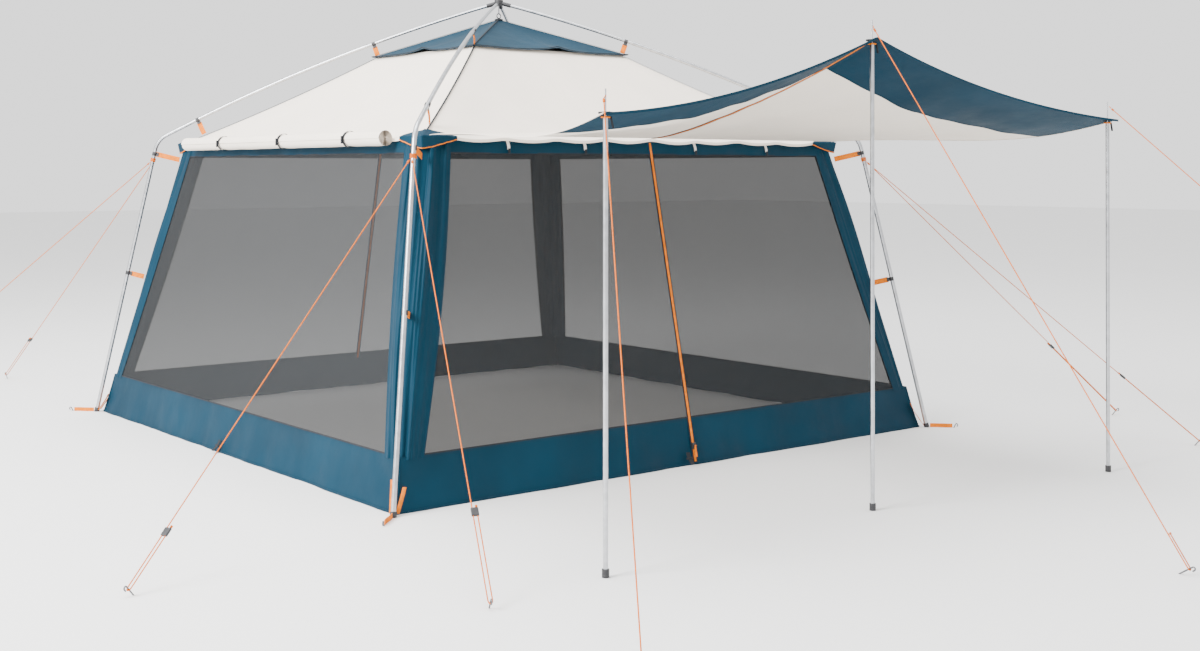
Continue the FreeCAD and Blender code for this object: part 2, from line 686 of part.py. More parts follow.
def awning():
    """Storm wall propped out: one thin curved sheet with a hole at each grommet."""
    reach = 1 + AWNING_HEM / AWNING_EAVE_HALF
    top = [[awning_point(reach * (2 * i / AWNING_COLUMNS - 1), reach * j / AWNING_ROWS)
            for i in range(AWNING_COLUMNS + 1)] for j in range(AWNING_ROWS + 1)]
    drop = UP * -AWNING_CLOTH
    bottom = [[p + drop for p in row] for row in top]
    faces = []
    for j in range(AWNING_ROWS):
        for i in range(AWNING_COLUMNS):
            a, b = (j, i), (j, i + 1)
            c, d = (j + 1, i + 1), (j + 1, i)
            for grid, turns in ((top, ((a, d, c), (a, c, b))), (bottom, ((a, c, d), (a, b, c)))):
                faces += [[grid[r][k] for r, k in corners] for corners in turns]
    loop = [(0, i) for i in range(AWNING_COLUMNS)]
    loop += [(j, AWNING_COLUMNS) for j in range(AWNING_ROWS)]
    loop += [(AWNING_ROWS, i) for i in range(AWNING_COLUMNS, 0, -1)]
    loop += [(j, 0) for j in range(AWNING_ROWS, 0, -1)]
    for (j, i), (m, n) in zip(loop, loop[1:] + loop[:1]):
        faces.append([top[j][i], top[m][n], bottom[m][n]])
        faces.append([top[j][i], bottom[m][n], bottom[j][i]])
    sheet = flat_solid(faces)
    for name in AWNING_POLES:
        centre, normal = grommet_place(name), grommet_normal(name)
        half = normal * (GROMMET_OD / 2)
        sheet = sheet.cut(rod(centre - half, centre + half, GROMMET_OD + 2 * TUBE_CLEARANCE))
    return sheet


def grommet_place(name):
    """Centre of a grommet, on the upper face of the awning at its pole."""
    return V(*AWNING_POLES[name])


def grommet_normal(name):
    return awning_normal(GROMMET_ACROSS[name], 1.0)


def grommet(name):
    """Flat ring set in the awning's hem."""
    centre, normal = grommet_place(name), grommet_normal(name)
    low = centre - normal * (AWNING_CLOTH + GROMMET_LIP)
    return tube(low, centre + normal * GROMMET_LIP, GROMMET_OD, GROMMET_ID)


def awning_pole(name):
    """Foot cap, tube and spike of one awning pole."""
    centre = grommet_place(name)
    ground = V(centre.x, centre.y, 0)
    top = centre - UP * (AWNING_CLOTH + GROMMET_LIP + SHOULDER_GAP)
    seat = ground + UP * AWNING_FOOT_BASE
    cap = rod(ground, ground + UP * AWNING_FOOT_HEIGHT, AWNING_FOOT_OD)
    cap = cap.cut(rod(seat, ground + UP * AWNING_FOOT_HEIGHT, AWNING_POLE_OD))
    shaft = tube(seat, top, AWNING_POLE_OD, AWNING_POLE_ID)
    plug = rod(top - UP * SPIKE_SEAT, top, AWNING_POLE_ID)
    spike = plug.fuse(rod(top, centre + UP * SPIKE_LENGTH, SPIKE_D))
    return [cap, shaft, spike]


# ---------------------------------------------------------------- door zips
def on_wall(shape, z, side):
    """Place a shape drawn flat against the XZ plane, outside towards -Y, on a wall at height z."""
    copy = shape.copy()
    copy.rotate(V(0, 0, 0), V(1, 0, 0), -WALL_TILT)
    copy.translate(V(0, -wall_half(z), z))
    return turned(copy, SIDES[side])


def pull_pivot_local():
    """Pull pin's centre, on the slider's outer face."""
    return V(0, -(SLIDER_GAP + SLIDER_DEPTH + PULL_PIN_D), 0)


def zip_slider(side):
    """Slider body with two ears and the pin that its pull turns on."""
    face = -(SLIDER_GAP + SLIDER_DEPTH)
    half_w = SLIDER_WIDTH / 2
    half_h = SLIDER_HEIGHT / 2
    body = block(-half_w, half_w, face, -SLIDER_GAP, -half_h, half_h)
    pivot = pull_pivot_local()
    ear_reach = PULL_PIN_D * 1.2
    for sign in (-1, 1):
        low = sign * half_w if sign < 0 else half_w - PULL_EAR
        ear = block(low, low + PULL_EAR, pivot.y - ear_reach, face + 1.0, -ear_reach, ear_reach)
        body = body.fuse(ear)
    pin = rod(V(-half_w, pivot.y, 0), V(half_w, pivot.y, 0), PULL_PIN_D)
    return on_wall(body.fuse(pin), SLIDER_REST_Z, side)


def zip_pull(side):
    """Flat tab that hangs on the slider's pin."""
    pivot = pull_pivot_local()
    half_w = PULL_WIDTH / 2
    eye_r = PULL_PIN_D / 2 + PULL_THICK * 0.6
    eye = rod(V(-half_w, pivot.y, 0), V(half_w, pivot.y, 0), 2 * eye_r)
    tab = block(-half_w, half_w, pivot.y - PULL_THICK / 2, pivot.y + PULL_THICK / 2, -PULL_LENGTH, 0)
    hole = rod(V(-half_w, pivot.y, 0), V(half_w, pivot.y, 0), PULL_PIN_D + 2 * PULL_PIN_HOLE_CLEARANCE)
    return on_wall(eye.fuse(tab).cut(hole), SLIDER_REST_Z, side)


# ---------------------------------------------------------------- guy lines
def corner_point(corner, local):
    """A point of the XZ corner drawing, turned to its corner."""
    angle = math.radians(CORNERS[corner])
    return V(local.x * math.cos(angle), local.x * math.sin(angle), local.z)


class Guy:
    """One guy line: its straight main run, the loop round its peg and the run back.

    The loop is two quarter bends at the corners loop_near and loop_far of the cord's route.
    """

    def __init__(self, top, peg_x, peg_y, knot_start, back):
        loop = V(peg_x, peg_y, WRAP_Z)
        self.along = unit(loop - top)
        self.side = unit(self.along.cross(UP))
        self.shaft = unit(self.side.cross(self.along))
        self.loop = loop
        self.back = back
        self.start = top + self.along * (knot_start + KNOT_LENGTH) + self.side * LOOP_R
        self.end = loop - self.side * LOOP_R - self.along * back

    def route(self):
        """The cord's route: its two ends and the two corners between them."""
        reach = self.along * LOOP_R
        loop_near = self.loop + reach + self.side * LOOP_R
        loop_far = self.loop + reach - self.side * LOOP_R
        return [self.start, loop_near, loop_far, self.end]

    def cord(self):
        """Tube along the route, bent at its corners, with a knot at each end."""
        start, loop_near, loop_far, end = self.route()
        reach = self.along * LOOP_R
        turn = bent_rod(self.loop, LOOP_R, self.side, self.shaft, 180.0, CORD_D)
        line = rod(start, loop_near - reach, CORD_D).multiFuse([turn, rod(loop_far - reach, end, CORD_D)])
        knots = [rod(start - self.along * KNOT_LENGTH, start, KNOT_D),
                 rod(end, end - self.along * END_KNOT_LENGTH, KNOT_D)]
        length = (loop_near - reach - start).Length + math.pi * LOOP_R + self.back
        section = math.pi * CORD_D ** 2 / 4
        print("guy line length %.0f mm, bend radius %.1f mm, volume over section x length %.4f"
              % (length, LOOP_R, line.Volume / (section * length)))
        return [line] + knots

    def peg(self):
        """Wire peg in the far end of the loop, down to the ground line, hook away from the house."""
        return wire_peg(self.loop + self.along * PEG_IN_LOOP, self.shaft, self.along)

    def tensioner(self):
        """Flat slider with one hole for each run of its guy line."""
        centre = self.loop - self.along * (self.back - TENSIONER_LENGTH / 2 - CORD_PLAY)
        half_w = TENSIONER_WIDTH / 2
        half_t = TENSIONER_THICK / 2
        half_l = TENSIONER_LENGTH / 2
        body = block(-half_w, half_w, -half_t, half_t, -half_l, half_l)
        body = body.makeFillet(half_t * 0.6, body.Edges)
        for sign in (-1, 1):
            hole = Part.makeCylinder(CORD_D / 2 + TENSIONER_PLAY, 2 * TENSIONER_LENGTH,
                                     V(sign * LOOP_R, 0, -TENSIONER_LENGTH))
            body = body.cut(hole)
        return framed(body, centre, self.side, self.along)


def wire_peg(base, shaft, hook_dir):
    """Bent wire peg whose shaft passes through base, cut at the ground line."""
    top = base + shaft * PEG_NECK
    low = base - shaft * (base.z / shaft.z + PEG_D)
    bend_centre = top + hook_dir * PEG_HOOK_R
    axis = hook_dir.cross(shaft)
    bend = bent_rod(bend_centre, PEG_HOOK_R, hook_dir * -1, axis * -1, 180.0, PEG_D)
    tail_top = bend_centre + hook_dir * PEG_HOOK_R
    pieces = [bend, rod(tail_top, tail_top - shaft * PEG_TAIL, PEG_D)]
    return above_ground(rod(low, top, PEG_D).multiFuse(pieces))


def collar_centre():
    return KNEE - LEG_DIR * COLLAR_DROP


def guy_collar():
    """Cord loop round the top of the leg that the corner guy lines start from."""
    half = LEG_DIR * (COLLAR_HEIGHT / 2)
    return tube(collar_centre() - half, collar_centre() + half, COLLAR_OD, LEG_OD + 2 * TUBE_CLEARANCE)


def corner_guys():
    found = {}
    for name, (corner, (out_x, out_y), slider) in CORNER_GUYS.items():
        top = corner_point(corner, collar_centre())
        peg_x = math.copysign(FOOT_HALF + out_x, top.x)
        peg_y = math.copysign(FOOT_HALF + out_y, top.y)
        found[name] = Guy(top, peg_x, peg_y, CORNER_KNOT_START, slider + TENSIONER_LENGTH)
    return found


def awning_guys():
    found = {}
    for name, (pole, (along_x, along_y)) in AWNING_GUYS.items():
        place = grommet_place(pole)
        top = place + UP * AWNING_GUY_LIFT
        found[name] = Guy(top, place.x + along_x, place.y + along_y, AWNING_KNOT_START, AWNING_RETURN)
    return found


def corner_peg():
    """Peg at the end of a corner anchor."""
    lean = unit(V(1, 0, 2))
    base = V(FOOT_R + ANCHOR_LENGTH + 2 * PEG_D, 0, PEG_D)
    return wire_peg(base, lean, unit(V(2, 0, -1)))


# ---------------------------------------------------------------- writing
def all_corners(piece):
    return [turned(piece, angle) for angle in CORNERS.values()]


def flatten(shape):
    """Every solid in a shape or a list of shapes."""
    shapes = shape if isinstance(shape, list) else [shape]
    return [solid for s in shapes for solid in s.Solids]


def write(node, shape):
    """Write one node's solids, moved to the row's origin."""
    solids = flatten(shape)
    for solid in solids:
        if not solid.isValid() or solid.Volume <= 0:
            raise ValueError("bad solid in " + node)
    whole = Part.makeCompound(solids) if len(solids) > 1 else solids[0].copy()
    whole.translate(V(0, HOUSE_Y, 0))
    whole.exportStep("parts/" + node + ".step")


def write_frame():
    write("hub", hub())
    write("peak_hook", peak_hook())
    write("roof_pole_tips", all_corners(roof_tip()))
    write("knee_bends", all_corners(knee()))
    write("leg_feet", all_corners(leg_foot()))
    write("tube_ferrules", [turned(f, a) for f in ferrules() for a in CORNERS.values()])
    for corner, angle in CORNERS.items():
        write("leg_" + corner, [turned(section, angle) for section in leg()])
        write("roof_pole_" + corner, turned(roof_pole(), angle))


def write_fabric():
    write("roof_canopy", roof_canopy())
    write("vent_cap", vent_cap())
    write("vent_mesh", vent_mesh())
    for side in SIDES:
        write("mesh_" + side, mesh(side))
        write("skirt_" + side, skirt(side))
    for corner in CORNERS:
        write("sleeve_" + corner, sleeve(corner))
    write("eave_band", [valance(side) for side in SIDES])
    write("rolled_wall", rolled_wall())
    ties = [piece for y in ROLL_TIES for piece in roll_tie(y)]
    ties += [piece for x in FRONT_TIES for piece in front_tie(x)]
    write("roll_ties", ties)


def write_hardware():
    clips = corner_clips()
    write("pole_clips", [piece for made, strap in clips for piece in all_corners(made)])
    webbing = [piece for made, strap in clips for piece in all_corners(strap)]
    write("webbing", webbing + all_corners(corner_anchor()) + all_corners(guy_collar()))
    write("zip_tapes", [zip_tape(side) for side in DOOR_SIDES])
    for side in DOOR_SIDES:
        write("zip_slider_" + side, zip_slider(side))
        write("zip_pull_" + side, zip_pull(side))


def write_awning():
    write("awning", awning())
    write("awning_grommets", [grommet(name) for name in AWNING_POLES])
    for name in AWNING_POLES:
        write("awning_pole_" + name, awning_pole(name))


def write_guys():
    corner = corner_guys()
    pegs = all_corners(corner_peg())
    for name, guy in {**corner, **awning_guys()}.items():
        write("guy_line_" + name, guy.cord())
        pegs.append(guy.peg())
    for name, guy in corner.items():
        write("tensioner_" + name, guy.tensioner())
    write("ground_pegs", pegs)


os.makedirs("parts", exist_ok=True)
write_frame()
write_fabric()
write_hardware()
write_awning()
write_guys()
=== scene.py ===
import math

import bpy
from mathutils import Matrix, Vector, noise


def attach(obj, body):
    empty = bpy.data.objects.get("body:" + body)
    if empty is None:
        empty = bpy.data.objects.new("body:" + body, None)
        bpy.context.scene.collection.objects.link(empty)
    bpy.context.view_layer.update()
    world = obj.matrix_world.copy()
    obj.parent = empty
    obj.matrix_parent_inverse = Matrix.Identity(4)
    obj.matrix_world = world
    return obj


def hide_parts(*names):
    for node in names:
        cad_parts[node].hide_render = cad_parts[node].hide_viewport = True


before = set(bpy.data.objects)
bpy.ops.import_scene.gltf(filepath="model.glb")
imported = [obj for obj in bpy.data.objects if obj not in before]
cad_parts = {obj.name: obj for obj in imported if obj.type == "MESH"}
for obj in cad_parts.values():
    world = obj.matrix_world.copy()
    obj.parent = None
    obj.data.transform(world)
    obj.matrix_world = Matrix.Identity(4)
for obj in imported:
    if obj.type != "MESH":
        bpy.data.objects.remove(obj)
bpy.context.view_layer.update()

# ---------------------------------------------------------------- sizes, in metres, as in the CAD
HOUSE_Y = 0.548775          # the house centre, along Y from the origin
FOOT_HALF = 1.525
KNEE_HALF = 1.290
KNEE_Z = 1.435
WALL_BASE_HALF = 1.500
EAVE_HALF = 1.190
EAVE_Z = 1.402
SKIRT_Z = 0.200
VALANCE_Z = 1.345
SLEEVE_TOP = 0.130
SLEEVE_BASE = 0.105
ROOF_EAVE_HALF = 1.205
ROOF_EAVE_Z = 1.406
CAP_HALF = 0.447
CAP_Z = 1.862
CAP_LIFT = 0.009
CAP_OVERHANG = 0.026
PEAK_Z = 2.046
VENT_DROP = 0.024
ROLL_R = 0.036
ROLL_STANDOFF = 0.008
ROLL_HALF_LENGTH = 1.000
ROLL_TIES = (0.550, -0.090, -0.700)
FRONT_TIES = (-0.785, -0.380, 0.264, 0.724)
AWNING_EAVE_HALF = 1.150
AWNING_EAVE_GAP = 0.014
AWNING_EAVE_Z = 1.420
AWNING_SAG_LEFT = 0.055
AWNING_SAG_RIGHT = 0.040
AWNING_SCALLOP = 0.035
AWNING_RISE_POWER = 1.5
AWNING_RISE_EASE = 0.4
AWNING_POLES = {
    "left": (-1.415, -2.633, 1.458),
    "middle": (-0.062, -2.550, 1.766),
    "right": (1.262, -2.700, 1.492),
}
AWNING_HEM = 0.022
CORD_D = 0.004
COLLAR_DROP = 0.108
LOOP_R = 0.007
WRAP_Z = 0.024
KNOT_LENGTH = 0.016
CORNER_KNOT_START = 0.024
AWNING_KNOT_START = 0.022
AWNING_GUY_LIFT = 0.060
AWNING_RETURN = 0.110
TENSIONER_LENGTH = 0.030
CORNER_GUYS = {
    "front_left_side": ("front_left", (-2.660, -1.905), 0.190),
    "front_left_front": ("front_left", (-1.890, -2.690), 0.300),
    "front_right_side": ("front_right", (2.585, -1.905), 0.490),
    "front_right_front": ("front_right", (2.115, -2.630), 0.420),
    "back_left_side": ("back_left", (-2.715, 1.675), 0.360),
    "back_left_back": ("back_left", (-1.520, 3.090), 0.390),
}
AWNING_GUYS = {
    "awning_left": ("left", (-2.075, -3.610)),
    "awning_middle": ("middle", (0.030, -3.765)),
    "awning_right": ("right", (1.950, -4.180)),
}
CORNERS = {"front_left": 225.0, "front_right": 315.0, "back_right": 45.0, "back_left": 135.0}
SIDES = {"front": 0.0, "right": 90.0, "back": 180.0, "left": 270.0}
DOOR_SIDES = ("front", "back")
HOUSE = "house"
UP = Vector((0, 0, 1))

TAB_WIDTH = 0.026
ANCHOR_WIDTH = 0.019
LEG_OD = 0.020
COLLAR_HEIGHT = 0.014

# looks that the CAD has no size for
CLOTH_DEPTH = 0.0015        # cloth surface below the outside of its CAD solid
BINDING = 0.006
SEAM = 0.008
HIP_SAG = 0.016
CANOPY_SAG = 0.014          # of a roof panel between its edges, and of a cap panel
CANOPY_FOLD = 0.006
LASH_DEPTH = 0.010          # how far the roof's edge dips between its lashings
ROOF_HEM = 0.012
CAP_PIPING = 0.004
TAPE_THICK = 0.0012
CAP_TIP = 0.012
CAP_PROP = 0.017
CAP_SLACK = 0.002
TOGGLE_R = 0.0042
FRONT_TOGGLE_R = 0.0046
HEM_TOGGLE_R = 0.0045
HEM_LOOP_X = -0.045
HEM_LOOP_WIDTH = 0.020
FOOT_STRAPS = ((-0.024, 0.120), (0.024, 0.095))     # beside the corner, and height on the skirt
FOOT_STRAP_WIDTH = 0.015
AWNING_OUTER_HEM = 0.009
AWNING_SIDE_HEM = 0.012
AWNING_BAND_SEAM = 0.007
AWNING_HEM_THICK = 0.0016
AWNING_SEAM_THICK = 0.0014
AWNING_TAPE_SHIFT = 0.0075
AWNING_TAPE_THICK = 0.0034
AWNING_COIL_THICK = 0.0046
EYELET_PATCH_R = 0.021
TIP_LOOP_R = 0.013
TIP_LOOP_DROP = 0.016
TIP_TAG_WIDTH = 0.008
KNOT_TURN_GAP = 0.003
KNOT_TURN_STEP = 0.0042
KNOT_TURN_R = 0.0026
KNOT_TURN_THICK = 0.0019
SPIKE_OFFSET = 0.010        # from the top of a line's route to where its cord is seen to begin
BOX_CORNERS = 8
RIBBON = 0.0018             # thickness of a ribbon, and below of one with its stitches and of an anchor
STITCHED = 0.0034
ANCHOR_RIBBON = 0.0024
RIBBON_BOW = 0.0015
STITCH_HALF = 0.003
TAB_SEWN = 0.004            # end of a tab that is sewn to the cloth
SKIRT_SLACK = 0.014
SKIRT_DROOP = 0.004
SKIRT_CREASE = 0.004
SKIRT_CREASE_FROM = 0.86    # share of the skirt's half width where its corner creases start
SCREEN_BELLY = 0.012
SLEEVE_ROUND = 0.020
TIE_WIDTH = 0.014
TIE_RIBBON = 0.0014
ROLL_TIE_RIBBON = 0.0015
TIE_DROP = 0.040
ZIP_START_Z = 0.013
ZIP_END_GAP = 0.004
ZIP_TAPE = 0.0080
ZIP_TAPE_THICK = 0.0014
ZIP_COIL = 0.0100
ZIP_COIL_THICK = 0.0060     # through the cloth, so that the coil shows inside too
AWNING_ZIP_TAPE = 0.007
AWNING_ZIP_COIL = 0.009
AWNING_ZIP_END = 0.965      # share of the sheet's length
HOOD_REACH = 0.170
HOOD_LAP = 0.055
HOOD_DROP = 0.050
HOOD_LIFT = 0.007
ROLL_CORE_R = 0.007
ROLL_TURNS = 8.5
AWNING_BAND = 0.80          # share of the awning's length where its coloured band begins
AWNING_BELLY = 0.050        # how far the sheet hangs below a straight line at its sides
FOOT_CAP_TOP = 0.027
FLOOR_HALF = 40.0
CAMERA_PLACE = (-4.313, -6.233, 1.276)
CAMERA_TURN = (math.pi / 2 + 0.006, 0.0, -0.674)
CAMERA_LENS = 44.17
CAMERA_SENSOR = 36.0
CAMERA_SHIFT = -0.1369
SKY_STRENGTH = 1.7
KEY_POWER = 2200.0
TOP_POWER = 900.0


def at(x, y, z):
    """A point given about the house centre, in the row frame."""
    return Vector((x, y + HOUSE_Y, z))


def turned(p, degrees):
    """A point about the house centre turned about the mast line, into the row frame."""
    q = Matrix.Rotation(math.radians(degrees), 3, "Z") @ Vector(p)
    return at(*q)


def mix(a, b, share):
    return a + (b - a) * share


# ---------------------------------------------------------------- material nodes
class Look:
    """A node material round one Principled shader, textured in metres."""

    def __init__(self, name, color, rough, **sockets):
        self.material = bpy.data.materials.new(name)
        self.material.use_nodes = True
        self.tree = self.material.node_tree
        self.shader = self.tree.nodes["Principled BSDF"]
        self.shader.inputs["Base Color"].default_value = (*color, 1.0)
        self.shader.inputs["Roughness"].default_value = rough
        for socket, value in sockets.items():
            self.shader.inputs[socket.replace("_", " ")].default_value = value
        self.coords = self.tree.nodes.new("ShaderNodeTexCoord")

    def link(self, start, end):
        self.tree.links.new(start, end)

    def stretch(self, source, scale):
        """Texture coordinates scaled by three numbers, for grain that runs one way."""
        node = self.tree.nodes.new("ShaderNodeMapping")
        node.inputs["Scale"].default_value = scale
        self.link(self.coords.outputs[source], node.inputs["Vector"])
        return node.outputs["Vector"]

    def clouds(self, vector, scale, detail=3.0):
        node = self.tree.nodes.new("ShaderNodeTexNoise")
        node.inputs["Scale"].default_value = scale
        node.inputs["Detail"].default_value = detail
        self.link(vector, node.inputs["Vector"])
        return node.outputs["Fac"]

    def bands(self, vector, direction, pitch):
        """Waves with one crest every pitch metres, along X or Y of the coordinates."""
        node = self.tree.nodes.new("ShaderNodeTexWave")
        node.bands_direction = direction
        node.inputs["Scale"].default_value = math.pi / (10.0 * pitch)
        self.link(vector, node.inputs["Vector"])
        return node.outputs["Fac"]

    def either(self, a, b):
        node = self.tree.nodes.new("ShaderNodeMath")
        node.operation = "MAXIMUM"
        self.link(a, node.inputs[0])
        self.link(b, node.inputs[1])
        return node.outputs["Value"]

    def ramp(self, factor, low, high, low_at=0.3, high_at=0.7):
        """Colour that runs from low to high as the factor rises."""
        node = self.tree.nodes.new("ShaderNodeValToRGB")
        node.color_ramp.elements[0].position = low_at
        node.color_ramp.elements[0].color = (*low, 1.0)
        node.color_ramp.elements[1].position = high_at
        node.color_ramp.elements[1].color = (*high, 1.0)
        self.link(factor, node.inputs["Fac"])
        return node.outputs["Color"]

    def paint(self, color):
        self.link(color, self.shader.inputs["Base Color"])

    def gloss(self, factor, low, high):
        node = self.tree.nodes.new("ShaderNodeMapRange")
        node.inputs["To Min"].default_value = low
        node.inputs["To Max"].default_value = high
        self.link(factor, node.inputs["Value"])
        self.link(node.outputs["Result"], self.shader.inputs["Roughness"])

    def bump(self, height, distance, strength, under=None):
        node = self.tree.nodes.new("ShaderNodeBump")
        node.inputs["Distance"].default_value = distance
        node.inputs["Strength"].default_value = strength
        self.link(height, node.inputs["Height"])
        if under:
            self.link(under, node.inputs["Normal"])
        return node.outputs["Normal"]

    def relief(self, normal):
        self.link(normal, self.shader.inputs["Normal"])


def shade(color, factor):
    return tuple(min(c * factor, 1.0) for c in color)


def cloth_look(name, color, spread, sheen):
    """Coated polyester: plain weave, ripstop lines, soft crumple and slight fading."""
    look = Look(name, color, 0.62, Sheen_Weight=sheen, Sheen_Roughness=0.4, Specular_IOR_Level=0.12)
    flat = look.coords.outputs["UV"]
    body = look.coords.outputs["Object"]
    fade = look.clouds(body, 3.0, 5.0)
    look.paint(look.ramp(fade, shade(color, 1 - spread), shade(color, 1 + spread)))
    look.gloss(look.clouds(body, 9.0), 0.52, 0.72)
    crumple = look.bump(look.clouds(body, 14.0, 4.0), 0.006, 0.35)
    thread = look.either(look.bands(flat, "X", 0.0012), look.bands(flat, "Y", 0.0012))
    weave = look.bump(thread, 0.0002, 0.25, crumple)
    look.relief(weave)
    return look.material


def screen_look():
    """Fine open screen, dark and partly seen through, with its mesh lines."""
    color = (0.026, 0.027, 0.028)
    look = Look("screen", color, 0.75, Alpha=0.72, Specular_IOR_Level=0.05)
    flat = look.coords.outputs["UV"]
    thread = look.either(look.bands(flat, "X", 0.0018), look.bands(flat, "Y", 0.0018))
    look.paint(look.ramp(thread, shade(color, 0.7), shade(color, 1.5)))
    look.relief(look.bump(thread, 0.0003, 0.4))
    return look.material


def webbing_look(name, color):
    """Woven webbing with its ribs across the strap."""
    look = Look(name, color, 0.7, Specular_IOR_Level=0.15)
    body = look.coords.outputs["Object"]
    look.paint(look.ramp(look.clouds(body, 60.0), shade(color, 0.78), shade(color, 1.12)))
    ribs = look.either(look.bands(body, "DIAGONAL", 0.0016), look.clouds(body, 700.0))
    look.relief(look.bump(ribs, 0.0004, 0.5))
    return look.material


def cord_look():
    """Braided cord with darker flecks in the braid."""
    color = (0.64, 0.135, 0.002)
    look = Look("orange_cord", color, 0.6, Specular_IOR_Level=0.15)
    body = look.coords.outputs["Object"]
    braid = look.clouds(look.stretch("Object", (1.0, 1.0, 0.4)), 420.0, 1.0)
    look.paint(look.ramp(braid, shade(color, 0.62), shade(color, 1.1), 0.38, 0.52))
    look.relief(look.bump(look.bands(body, "DIAGONAL", 0.002), 0.0003, 0.5))
    return look.material


def tube_look():
    """Drawn aluminium: satin, with faint lines along it and light scuffs."""
    color = (0.52, 0.53, 0.55)
    look = Look("frame_tube", color, 0.3, Metallic=1.0)
    drawn = look.clouds(look.stretch("Object", (1.0, 1.0, 0.03)), 900.0)
    scuff = look.clouds(look.coords.outputs["Object"], 35.0, 6.0)
    look.paint(look.ramp(scuff, shade(color, 0.82), shade(color, 1.08)))
    look.gloss(scuff, 0.22, 0.42)
    look.relief(look.bump(drawn, 0.0001, 0.25))
    return look.material


def plastic_look():
    """Moulded black plastic with a fine grain, paler where it is rubbed."""
    color = (0.018, 0.018, 0.020)
    look = Look("black_plastic", color, 0.5)
    body = look.coords.outputs["Object"]
    look.paint(look.ramp(look.clouds(body, 40.0, 5.0), color, shade(color, 2.2), 0.45, 0.8))
    look.gloss(look.clouds(body, 25.0), 0.42, 0.6)
    look.relief(look.bump(look.clouds(body, 900.0, 1.0), 0.0002, 0.3))
    return look.material


def steel_look():
    """Zinc plated wire and rings."""
    color = (0.16, 0.16, 0.17)
    look = Look("bright_steel", color, 0.35, Metallic=1.0)
    body = look.coords.outputs["Object"]
    look.paint(look.ramp(look.clouds(body, 80.0, 5.0), shade(color, 0.75), shade(color, 1.15)))
    look.gloss(look.clouds(body, 120.0), 0.25, 0.5)
    return look.material


def floor_look():
    color = (0.86, 0.86, 0.855)
    look = Look("floor", color, 0.9)
    look.paint(look.ramp(look.clouds(look.coords.outputs["Object"], 0.6), shade(color, 0.99), color))
    return look.material


TEAL = cloth_look("teal_cloth", (0.0018, 0.026, 0.048), 0.16, 0.01)
CREAM = cloth_look("cream_cloth", (0.88, 0.80, 0.70), 0.025, 0.02)
SCREEN = screen_look()
ORANGE = webbing_look("orange_webbing", (0.72, 0.175, 0.002))
BLACK_WEB = webbing_look("black_webbing", (0.022, 0.024, 0.028))
PALE_WEB = webbing_look("pale_webbing", (0.74, 0.71, 0.66))
CORD = cord_look()
TUBE = tube_look()
PLASTIC = plastic_look()
STEEL = steel_look()


# ---------------------------------------------------------------- mesh helpers
def add_object(name, data, materials):
    """An object riding on the house, with its materials."""
    obj = bpy.data.objects.new(name, data)
    bpy.context.scene.collection.objects.link(obj)
    for material in materials:
        data.materials.append(material)
    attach(obj, HOUSE)
    return obj


def lengths(points):
    """Distance along a row of points at each of them."""
    found = [0.0]
    for a, b in zip(points, points[1:]):
        found.append(found[-1] + (b - a).length)
    return found


def cloth(name, rows, materials, zone=None):
    """Smooth cloth surface through rows of points, with UVs in metres along the cloth.

    zone(row, column) gives the material of a face where there is more than one.
    """
    wide = len(rows[0])
    mesh = bpy.data.meshes.new(name)
    faces = []
    for j in range(len(rows) - 1):
        for i in range(wide - 1):
            low = j * wide + i
            faces.append((low, low + 1, low + 1 + wide, low + wide))
    mesh.from_pydata([tuple(p) for row in rows for p in row], [], faces)
    across = [lengths(row) for row in rows]
    middle = wide // 2
    along = lengths([row[middle] for row in rows])
    layer = mesh.uv_layers.new(name="cloth")
    for loop in mesh.loops:
        j, i = divmod(loop.vertex_index, wide)
        layer.data[loop.index].uv = (across[j][i] - across[j][middle], along[j])
    obj = add_object(name, mesh, materials)
    for polygon in mesh.polygons:
        polygon.use_smooth = True
        if zone:
            j, i = divmod(polygon.index, wide - 1)
            polygon.material_index = zone(j, i)
    return obj


def strap(points, across, width, thick):
    """Flat band along points: its corner points and faces. across is a vector or one per point."""
    given = across if isinstance(across, list) else [across] * len(points)
    verts = []
    for k, p in enumerate(points):
        tangent = (points[min(k + 1, len(points) - 1)] - points[max(k - 1, 0)]).normalized()
        side = given[k].normalized() * (width / 2)
        normal = tangent.cross(given[k]).normalized() * (thick / 2)
        verts += [p + side + normal, p - side + normal, p - side - normal, p + side - normal]
    faces = []
    for k in range(len(points) - 1):
        for i in range(4):
            a = 4 * k + i
            b = 4 * k + (i + 1) % 4
            faces.append((a, b, b + 4, a + 4))
    last = 4 * (len(points) - 1)
    faces += [(3, 2, 1, 0), (last, last + 1, last + 2, last + 3)]
    return verts, faces


def lathe_ring(centre, axis, radius, thick, around=20, section=8):
    """Torus: its points and faces."""
    axis = axis.normalized()
    first = axis.orthogonal().normalized()
    second = axis.cross(first)
    verts = []
    for i in range(around):
        a = 2 * math.pi * i / around
        out = first * math.cos(a) + second * math.sin(a)
        for j in range(section):
            b = 2 * math.pi * j / section
            verts.append(centre + out * (radius + thick * math.cos(b)) + axis * (thick * math.sin(b)))
    faces = []
    for i in range(around):
        for j in range(section):
            k = (i + 1) % around
            m = (j + 1) % section
            faces.append((i * section + j, k * section + j, k * section + m, i * section + m))
    return verts, faces


def bar(start, end, radius, section=10):
    """Round bar between two points: its points and faces."""
    axis = (end - start).normalized()
    first = axis.orthogonal().normalized()
    second = axis.cross(first)
    verts = []
    for p in (start, end):
        for j in range(section):
            a = 2 * math.pi * j / section
            verts.append(p + (first * math.cos(a) + second * math.sin(a)) * radius)
    faces = [(j, (j + 1) % section, (j + 1) % section + section, j + section) for j in range(section)]
    faces += [tuple(range(section - 1, -1, -1)), tuple(range(section, 2 * section))]
    return verts, faces


